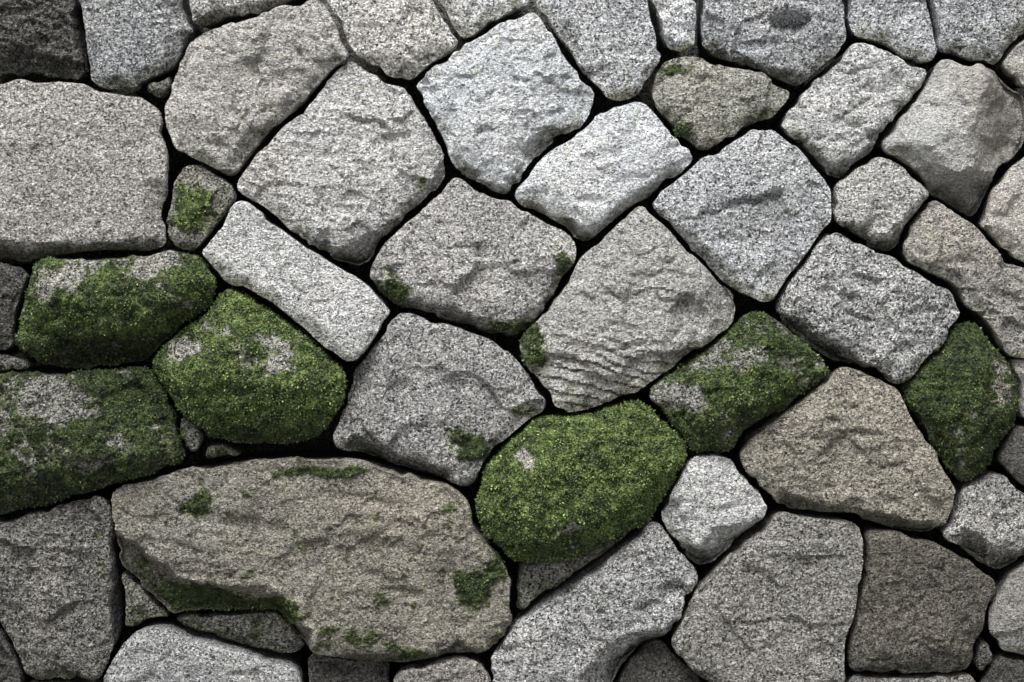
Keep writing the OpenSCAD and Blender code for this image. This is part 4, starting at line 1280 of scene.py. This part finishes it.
# Carvings that show in the front, stone by stone
CARVED = {
    "rough_brown_stone": [
        under([(-1140, 1480), (-1000, 1500), (-930, 1450), (-870, 1440)], 0.3, 24),
        dent(-960, 1470, 60, 24, 12, 20), dent(-1010, 1530, 50, 14, 8, 10),
    ],
    "warm_grey_block": [
        under([(-570, 1225), (-500, 1320), (-430, 1400), (-345, 1460)], 0.22, 16, (150, -160)),
        dent(-388, 1480, 15, 9, 7), dent(-455, 1398, 56, 24, 8, 10), dent(-512, 1412, 18, 7, 4),
        dent(-590, 1270, 30, 12, 5, -20),
    ],
    "blue_grey_block": [
        dent(-48, 1300, 34, 13, 8, 20), dent(-92, 1374, 24, 14, 6, -45), dent(22, 1396, 22, 12, 6),
        dent(104, 1404, 14, 9, 5), dent(70, 1330, 40, 12, 4, 15), dent(-120, 1330, 24, 14, 5, 50),
        under([(15, 1258), (34, 1284), (66, 1300), (96, 1306)], 0.8, 22, (60, -80)),
        under([(-118, 1262), (-72, 1214), (-22, 1192), (26, 1240)], 0.8, 40),
    ],
    "scooped_top_stone": [
        dent(558, 1512, 46, 30, 26, -8, 1.0), dent(500, 1470, 50, 16, 6, 10),
        under([(400, 1466), (456, 1446), (520, 1426), (590, 1412), (612, 1430)], 0.7, 30),
    ],
    "dressed_slab": [
        under([(-1290, 1078), (-1024, 1084), (-880, 1074), (-700, 1086)], 0.7, 30),
        under([(-738, 1200), (-736, 1050)], 0.6, 20, (100, 0)),
    ],
    "waved_grey_block": [
        under([(-420, 1086), (-380, 1064), (-325, 1070), (-273, 1108), (-223, 1130), (-158, 1206),
               (-136, 1256)], 1.0, 50, (80, -160)),
        dent(-304, 1226, 32, 12, 6, -30), dent(-240, 1284, 44, 13, 7, 14), dent(-318, 1168, 22, 10, 6),
        dent(-300, 1350, 26, 8, 5), dent(-356, 1215, 26, 6, 5, -55), dent(-232, 1244, 20, 10, 5),
        dent(-272, 1266, 18, 9, 6), dent(-380, 1290, 60, 14, 4, 10), dent(-450, 1160, 50, 12, 5, -15),
        dent(-362, 1358, 16, 8, 4),
    ],
    "long_grey_wedge": [
        under([(30, 1162), (90, 1130), (158, 1104), (214, 1150), (286, 1204), (345, 1234)], 0.9, 40),
        dent(160, 1160, 34, 12, 5), dent(280, 1216, 40, 6, 4, 32), dent(180, 1250, 50, 16, 3, 10),
    ],
    "rough_light_block": [
        under([(590, 1262), (630, 1238), (682, 1240), (730, 1286), (790, 1366)], 0.9, 40, (60, -160)),
        dent(766, 1396, 28, 22, 9, 20), dent(690, 1346, 42, 11, 7, 35), dent(742, 1300, 30, 18, 7, 40),
        dent(612, 1286, 22, 16, 8), dent(655, 1322, 26, 9, 6, 30), dent(700, 1420, 30, 10, 5, 20),
        dent(720, 1376, 18, 10, 6),
    ],
    "ridged_block": [
        under([(946, 1470), (944, 1414), (896, 1274), (912, 1200)], 0.45, 34, (220, 0)),
        under([(790, 1236), (846, 1208), (905, 1226), (970, 1220), (1030, 1262)], 1.0, 40),
        dent(985, 1266, 28, 22, 12, 30), dent(960, 1340, 30, 14, 6, 50), dent(900, 1400, 12, 6, 4),
        dent(850, 1270, 30, 10, 4, 30),
    ],
    "small_grey_stone": [
        under([(660, 1128), (704, 1098), (748, 1092), (790, 1136), (835, 1172)], 0.9, 30),
    ],
    "grooved_block": [
        under([(394, 1138), (440, 1158), (486, 1172), (530, 1192)], 1.1, 9, (6, -14)),
        under([(380, 1120), (450, 1150), (530, 1184), (620, 1200)], 0.12, 12, (60, -240)),
        dent(520, 1176, 22, 10, 6), dent(440, 1080, 30, 10, 4),
    ],
    "tilted_slab": [under([(-300, 1000), (-272, 940), (-306, 850)], 0.35, 12, (80, 10))],
    "broad_beige_block": [
        under([(-276, 1004), (-236, 976), (-154, 956), (-60, 930), (10, 920), (66, 972), (100, 1034)],
              0.8, 40),
        dent(-150, 990, 40, 12, 5), dent(90, 1010, 22, 26, 8), dent(-60, 1060, 60, 16, 4, -10),
    ],
    "flaky_wedge": [
        dent(204, 972, 26, 12, 9, -20), dent(276, 1014, 46, 9, 7, 4), dent(282, 974, 22, 9, 7, -30),
        dent(318, 1038, 30, 8, 6, 30),
        under([(100, 884), (150, 870), (222, 872), (276, 892)], 1.0, 6, (0, -15)),
        under([(146, 816), (215, 812), (236, 842), (270, 860), (350, 866), (450, 872)], 1.2, 10),
        dent(356, 926, 42, 56, 15, 10, 0.9),
        under([(380, 1030), (394, 930), (380, 870)], 0.4, 30, (120, 0)),
    ],
    "faceted_light_block": [
        under([(530, 950), (610, 905), (700, 850), (772, 800)], 1.5, 60, (-80, -160)),
        dent(654, 976, 42, 14, 8, -18), dent(790, 866, 40, 16, 7, 10), dent(720, 1000, 40, 10, 5, -30),
        dent(690, 930, 50, 12, 6, -20), dent(820, 940, 34, 12, 5), dent(650, 1060, 24, 10, 5),
    ],
    "brown_right_block": [dent(900, 1040, 40, 14, 6), dent(1000, 960, 50, 16, 6, -30)],
    "mossy_boulder": [
        under([(-985, 966), (-870, 956), (-760, 960), (-610, 990)], 0.35, 40),
        dent(-775, 1030, 40, 12, 9, 35),
    ],
    "pale_speckled_block": [
        under([(-240, 925), (-236, 850), (-262, 760), (-310, 690)], 0.45, 34, (-140, 0)),
        under([(-330, 700), (-245, 660), (-180, 642), (-120, 622)], 1.0, 40),
        dent(-100, 794, 36, 8, 5, -8), dent(-220, 790, 30, 18, 5), dent(-150, 870, 40, 10, 4, -15),
    ],
    "tan_triangle_stone": [
        under([(530, 592), (600, 562), (690, 548), (770, 532), (880, 520)], 0.7, 30),
        dent(622, 584, 32, 10, 8, 22), dent(684, 560, 30, 13, 8), dent(700, 700, 70, 12, 6, -6),
        dent(620, 690, 50, 12, 5), dent(760, 620, 60, 12, 5, 5), dent(680, 750, 40, 12, 5),
    ],
    "light_faceted_stone": [
        under([(326, 470), (372, 480), (400, 508), (440, 522), (478, 522), (510, 540)], 0.8, 40),
        under([(420, 650), (470, 600), (505, 560)], 0.3, 20, (80, 40)),
    ],
    "small_right_stone": [under([(890, 520), (930, 496), (975, 470), (1015, 470), (1055, 500)], 0.7, 30)],
    "great_ledge_slab": [
        under([(-810, 506), (-784, 498), (-752, 482), (-720, 454), (-700, 440), (-652, 406),
               (-588, 394), (-500, 396), (-460, 380), (-404, 300), (-396, 250)], 1.1, 34, (-220, -260)),
        dent(-270, 476, 120, 26, 7, -12, 0.3), dent(-250, 400, 110, 22, 7, -26, 0.3),
        dent(-120, 400, 24, 60, 6, 20, 0.3), dent(-560, 520, 140, 24, 6, -10, 0.3),
        dent(-320, 566, 120, 20, 5, -8, 0.3), dent(-660, 470, 60, 18, 6, -14, 0.3),
        dent(-780, 540, 30, 9, 5, -20), dent(-700, 516, 26, 8, 5, -30),
    ],
    "dark_left_block": [dent(-958, 272, 34, 7, 6, -60), dent(-900, 420, 40, 14, 5)],
    "long_low_block": [
        under([(244, 346), (300, 372), (348, 400)], 1.0, 8, (8, -14)),
        under([(120, 190), (160, 256), (200, 292), (250, 306), (335, 330)], 0.7, 50, (120, -150)),
    ],
    "upright_grey_block": [dent(560, 440, 60, 16, 4, -10), dent(620, 260, 40, 16, 5)],
}

# Moss that shows in the front: middle, half widths and how much more or less there is
MOSS = {
    "rough_brown_stone": [(-900, 1425, 60, 14, 0.4)],
    "olive_brown_stone": [(330, 1425, 70, 18, 0.55), (330, 1300, 40, 24, 0.45)],
    "waved_grey_block": [(-180, 1190, 20, 30, 0.4), (-430, 1080, 40, 16, 0.3)],
    "broad_beige_block": [(-250, 990, 60, 40, 0.6), (100, 1010, 30, 60, 0.5), (0, 915, 80, 26, 0.45)],
    "flaky_wedge": [(40, 870, 44, 60, 0.6), (90, 960, 24, 40, 0.4)],
    "mossy_boulder": [(-900, 1000, 70, 40, -0.4), (-720, 1035, 60, 34, -0.4), (-820, 930, 120, 40, 0.3)],
    "mossy_round_stone": [
        (-660, 866, 34, 24, -0.4), (-480, 850, 60, 50, -0.35), (-580, 905, 40, 14, -0.3),
        (-580, 780, 90, 50, 0.3), (-420, 780, 60, 50, 0.25), (-540, 950, 60, 24, 0.3),
    ],
    "pale_speckled_block": [(-90, 680, 60, 46, 0.55), (10, 740, 40, 20, 0.4), (-300, 690, 40, 20, 0.3)],
    "mossy_long_stone": [(330, 765, 44, 26, -0.4), (420, 850, 70, 26, -0.3), (500, 780, 80, 44, 0.35)],
    "dark_mossy_stone": [(870, 800, 60, 60, 0.3), (980, 780, 30, 60, -0.2)],
    "mossy_left_slab": [(-920, 760, 90, 40, -0.3), (-760, 760, 80, 50, 0.3), (-1000, 600, 120, 40, 0.3)],
    "bright_moss_stone": [
        (120, 640, 160, 90, 0.2), (30, 655, 26, 20, -0.5), (110, 512, 50, 18, -0.45),
        (60, 700, 30, 14, -0.3),
    ],
    "great_ledge_slab": [
        (-70, 400, 60, 60, 0.4), (-330, 290, 60, 24, 0.4), (-560, 340, 120, 40, 0.5),
        (-740, 400, 70, 40, 0.3), (-640, 370, 60, 30, 0.45), (-460, 330, 40, 50, 0.5),
        (-620, 560, 40, 34, 0.4), (-400, 620, 120, 14, 0.4), (-200, 255, 60, 16, 0.4),
    ],
    "long_low_block": [(230, 260, 60, 24, 0.35)],
    "olive_low_block": [(820, 235, 120, 20, 0.4), (900, 460, 60, 20, 0.3)],
    "dark_left_block": [(-830, 460, 16, 60, 0.35), (-880, 220, 60, 16, 0.35)],
    "tan_triangle_stone": [(480, 620, 20, 30, 0.3)],
    "faceted_light_block": [(560, 930, 40, 20, 0.3)],
    "foot_stones": [(-600, 300, 200, 60, 0.6), (-760, 330, 60, 80, 0.5)],
    "pinning_stones": [(-640, 1150, 40, 50, 0.35), (134, 430, 140, 80, -0.15)],
}

# Layers that flake off, in the same way
LAYERS = {
    "rough_brown_stone": [(-960, 1500, 140, 100, 0.35)],
    "flaky_wedge": [(180, 812, 150, 90, 1.0), (300, 980, 90, 50, 0.5)],
    "great_ledge_slab": [(-200, 400, 160, 60, 0.15)],
    "tan_triangle_stone": [(680, 660, 180, 80, 0.2)],
    "ridged_block": [(940, 1250, 60, 50, 0.4)],
}

# Lighter and darker patches, in the same way. A few are the stone's own tone; most are painted shade, in
# dents, grooves and hollows, under ledges, and on lower sides and facets turned from the light; a few are
# painted highlights, along the great ledge's arris.
TONES_AND_PAINTED_LIGHT = {
    "dark_left_block": [(-910, 474, 24, 20, 0.5)],
    "great_ledge_slab": [
        (-164, 560, 120, 40, 0.25), (-660, 400, 140, 50, -0.3), (-430, 345, 24, 45, 0.6),
        (-270, 476, 120, 14, -0.25), (-420, 440, 140, 14, -0.2), (-140, 430, 24, 50, -0.2),
        (-700, 560, 80, 30, -0.2),
        # Painted highlights along the ledge's arris
        (-784, 506, 28, 7, 0.5), (-726, 464, 30, 7, 0.5), (-640, 412, 40, 7, 0.5),
        (-545, 402, 50, 6, 0.5), (-474, 392, 22, 8, 0.5),
    ],
    # Painted shade on the right and the lower facet, which turn from the light, and a lighter left facet
    "ridged_block": [(990, 1350, 60, 90, -0.45), (850, 1330, 60, 60, 0.2), (920, 1175, 80, 34, -0.4)],
    "scooped_top_stone": [(556, 1504, 50, 30, -0.3)],
    "grooved_block": [(456, 1164, 60, 16, -0.35)],
    "blue_grey_block": [(-48, 1300, 36, 16, -0.25)],
    "warm_grey_block": [(-494, 1434, 34, 16, -0.25), (-600, 1400, 30, 20, -0.15)],
    "waved_grey_block": [(-274, 1084, 120, 40, -0.3), (-300, 1220, 30, 14, -0.2)],
    "broad_beige_block": [(-124, 944, 160, 26, -0.3)],
    "pale_speckled_block": [(-304, 684, 60, 120, -0.3), (-200, 650, 120, 24, -0.2)],
    "flaky_wedge": [(156, 844, 70, 30, -0.2), (90, 1060, 60, 60, 0.12)],
    "long_low_block": [(220, 320, 140, 24, -0.25)],
    "olive_low_block": [(820, 235, 140, 26, -0.4)],
    "mossy_long_stone": [(330, 765, 40, 40, 0.25), (540, 720, 120, 26, -0.5), (450, 800, 70, 40, 0.2)],
    "mossy_boulder": [(-820, 870, 200, 36, -0.5), (-860, 1030, 90, 30, 0.25)],
    "mossy_left_slab": [(-960, 580, 160, 40, -0.5), (-940, 760, 90, 40, 0.2)],
    "mossy_round_stone": [
        (-500, 700, 160, 30, -0.5), (-520, 950, 80, 30, 0.4), (-680, 800, 40, 60, 0.25),
    ],
    "bright_moss_stone": [
        (100, 480, 140, 30, -0.5), (30, 565, 30, 26, 0.7), (95, 618, 44, 20, 0.7),
        (190, 650, 30, 16, 0.7),
    ],
}

# Warmer or greyer patches, in the same way
TINTS = {
    "ridged_block": [(980, 1340, 90, 110, 0.9), (830, 1300, 90, 90, -0.4)],
    "waved_grey_block": [(-500, 1220, 60, 60, 0.9)],
    "brown_right_block": [(900, 1060, 90, 60, 0.3)],
    "dark_mossy_stone": [(980, 780, 50, 80, 0.6)],
    "great_ledge_slab": [(-160, 540, 160, 60, 0.5), (-640, 540, 120, 80, -0.4)],
    "right_end_stones": [(990, 1134, 80, 90, 0.5)],
    "head_stones": [(-234, 1494, 160, 160, 1.0), (-554, 1554, 120, 100, 0.7)],
}

# How light each stone is, where those of a node differ, in order along the wall
SHADES = {
    "head_stones": [0.67, 1.4, 1.45, 2.3, 1.4, 2.1, 1.3, 0.95],
    "foot_stones": [0.15, 0.5, 0.18, 0.6, 0.5, 0.17, 0.5, 0.5, 0.16],
    # The brightest pinning stone, at 3.6, is painted light: lightened where it lies recessed in shade
    "pinning_stones": [0.8, 1.3, 0.9, 1.6, 2.0, 0.9, 0.6, 3.6, 0.7],
    # The end stones are made darker with painted shade
    "left_end_stones": [0.6, 0.45, 0.24],
    "right_end_stones": [0.95, 0.8, 1.25, 0.58, 0.22, 0.3, 0.9, 0.7, 0.95],
    "back_head_stones": [1.05, 0.75, 1.3, 0.9, 1.15, 0.8, 1.0],
    "back_upper_stones": [1.05, 0.75, 1.3, 0.9, 1.2, 0.7, 0.95],
    "back_lower_stones": [0.95, 0.65, 1.15, 0.8, 0.55],
    "back_foot_stones": [0.8, 0.55, 1.0, 0.7, 0.9],
    "end_closers": [0.9, 0.7, 1.05, 0.8, 0.95],
}

# The usual and the warmer colour of each granite
COLOURS = {
    PALE: ((204, 204, 203), (198, 193, 188)),
    COOL: ((187, 189, 191), (192, 188, 182)),
    WARM: ((190, 189, 186), (188, 182, 174)),
    BROWN: ((156, 154, 149), (160, 152, 140)),
    OLIVE: ((166, 165, 156), (168, 161, 147)),
    MOSSY: ((150, 149, 142), (150, 144, 130)),
    DARK: ((128, 128, 122), (126, 120, 108)),
}
MATERIALS = {slot: granite(slot, *colours) for slot, colours in COLOURS.items()}


# The wall
def spacing_of(node):
    if node in FEATURED:
        return FEATURE_SPACING
    return BACK_SPACING if node.startswith(("back", "end")) else FRONT_SPACING


def plan_stones():
    plans = []
    for node in sorted(LOOKS):
        for points, triangles in solids_of(node):
            facing = facing_of(node, points)
            local = facing.local(points)
            plans.append(Plan(node, facing, local, triangles, loft_rings(local, triangles)))
    return plans


def model_stones(plans):
    """The stones of each node, meshed again from their plans. Each grows towards its neighbours."""
    stones = {node: [] for node in LOOKS}
    for seed, plan in enumerate(plans):
        node = plan.node
        if node != "end_closers":
            others = [p.rings[1][:, :2] for p in plans if p.facing is plan.facing and p is not plan]
            rings = grown(np.random.default_rng(seed), plan.rings, np.vstack(others))
            plan = plan._replace(rings=rings)
        shades = SHADES.get(node, [LOOKS[node]["shade"]])
        shade = shades[len(stones[node]) % len(shades)]
        marks = [table.get(node, []) for table in (CARVED, MOSS, LAYERS, TINTS, TONES_AND_PAINTED_LIGHT)]
        stones[node].append(Stone(plan, spacing_of(node), LOOKS[node], shade, marks, seed))
    return stones


def make_surfaces(stones, roughening):
    for node, members in stones.items():
        piece = stone_mesh(node + "_surface", members)
        applied(piece, roughening, SURFACE, MATERIALS[LOOKS[node]["slot"]])
        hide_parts(node)
        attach(piece, "root")


def make_tufts(stones, roughening):
    """Tufts on the moss of the front and the ends."""
    mossy = [stone for node, members in stones.items() for stone in members
             if stone.moss.max() > LEAST_TUFTED and not node.startswith("back")]
    tufts = stone_mesh("moss_tufts", mossy)
    applied(tufts, roughening, SURFACE, MATERIALS[MOSSY])
    applied(tufts, tuft_tree(), TUFTS, moss_green())
    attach(tufts, "root")


def make_rubble():
    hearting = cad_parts["hearting"]
    hearting.data.materials.clear()
    hearting.data.materials.append(granite("packing_granite", (150, 148, 142), (150, 142, 128), 0.6))
    rubble = add_object("hearting_rubble", hearting.data.copy())
    applied(rubble, rubble_tree(), RUBBLE, MATERIALS[DARK])
    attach(rubble, "root")


make_camera()
make_light()
make_floor()
stones = model_stones(plan_stones())
roughening = roughening_tree()
make_surfaces(stones, roughening)
make_tufts(stones, roughening)
make_rubble()
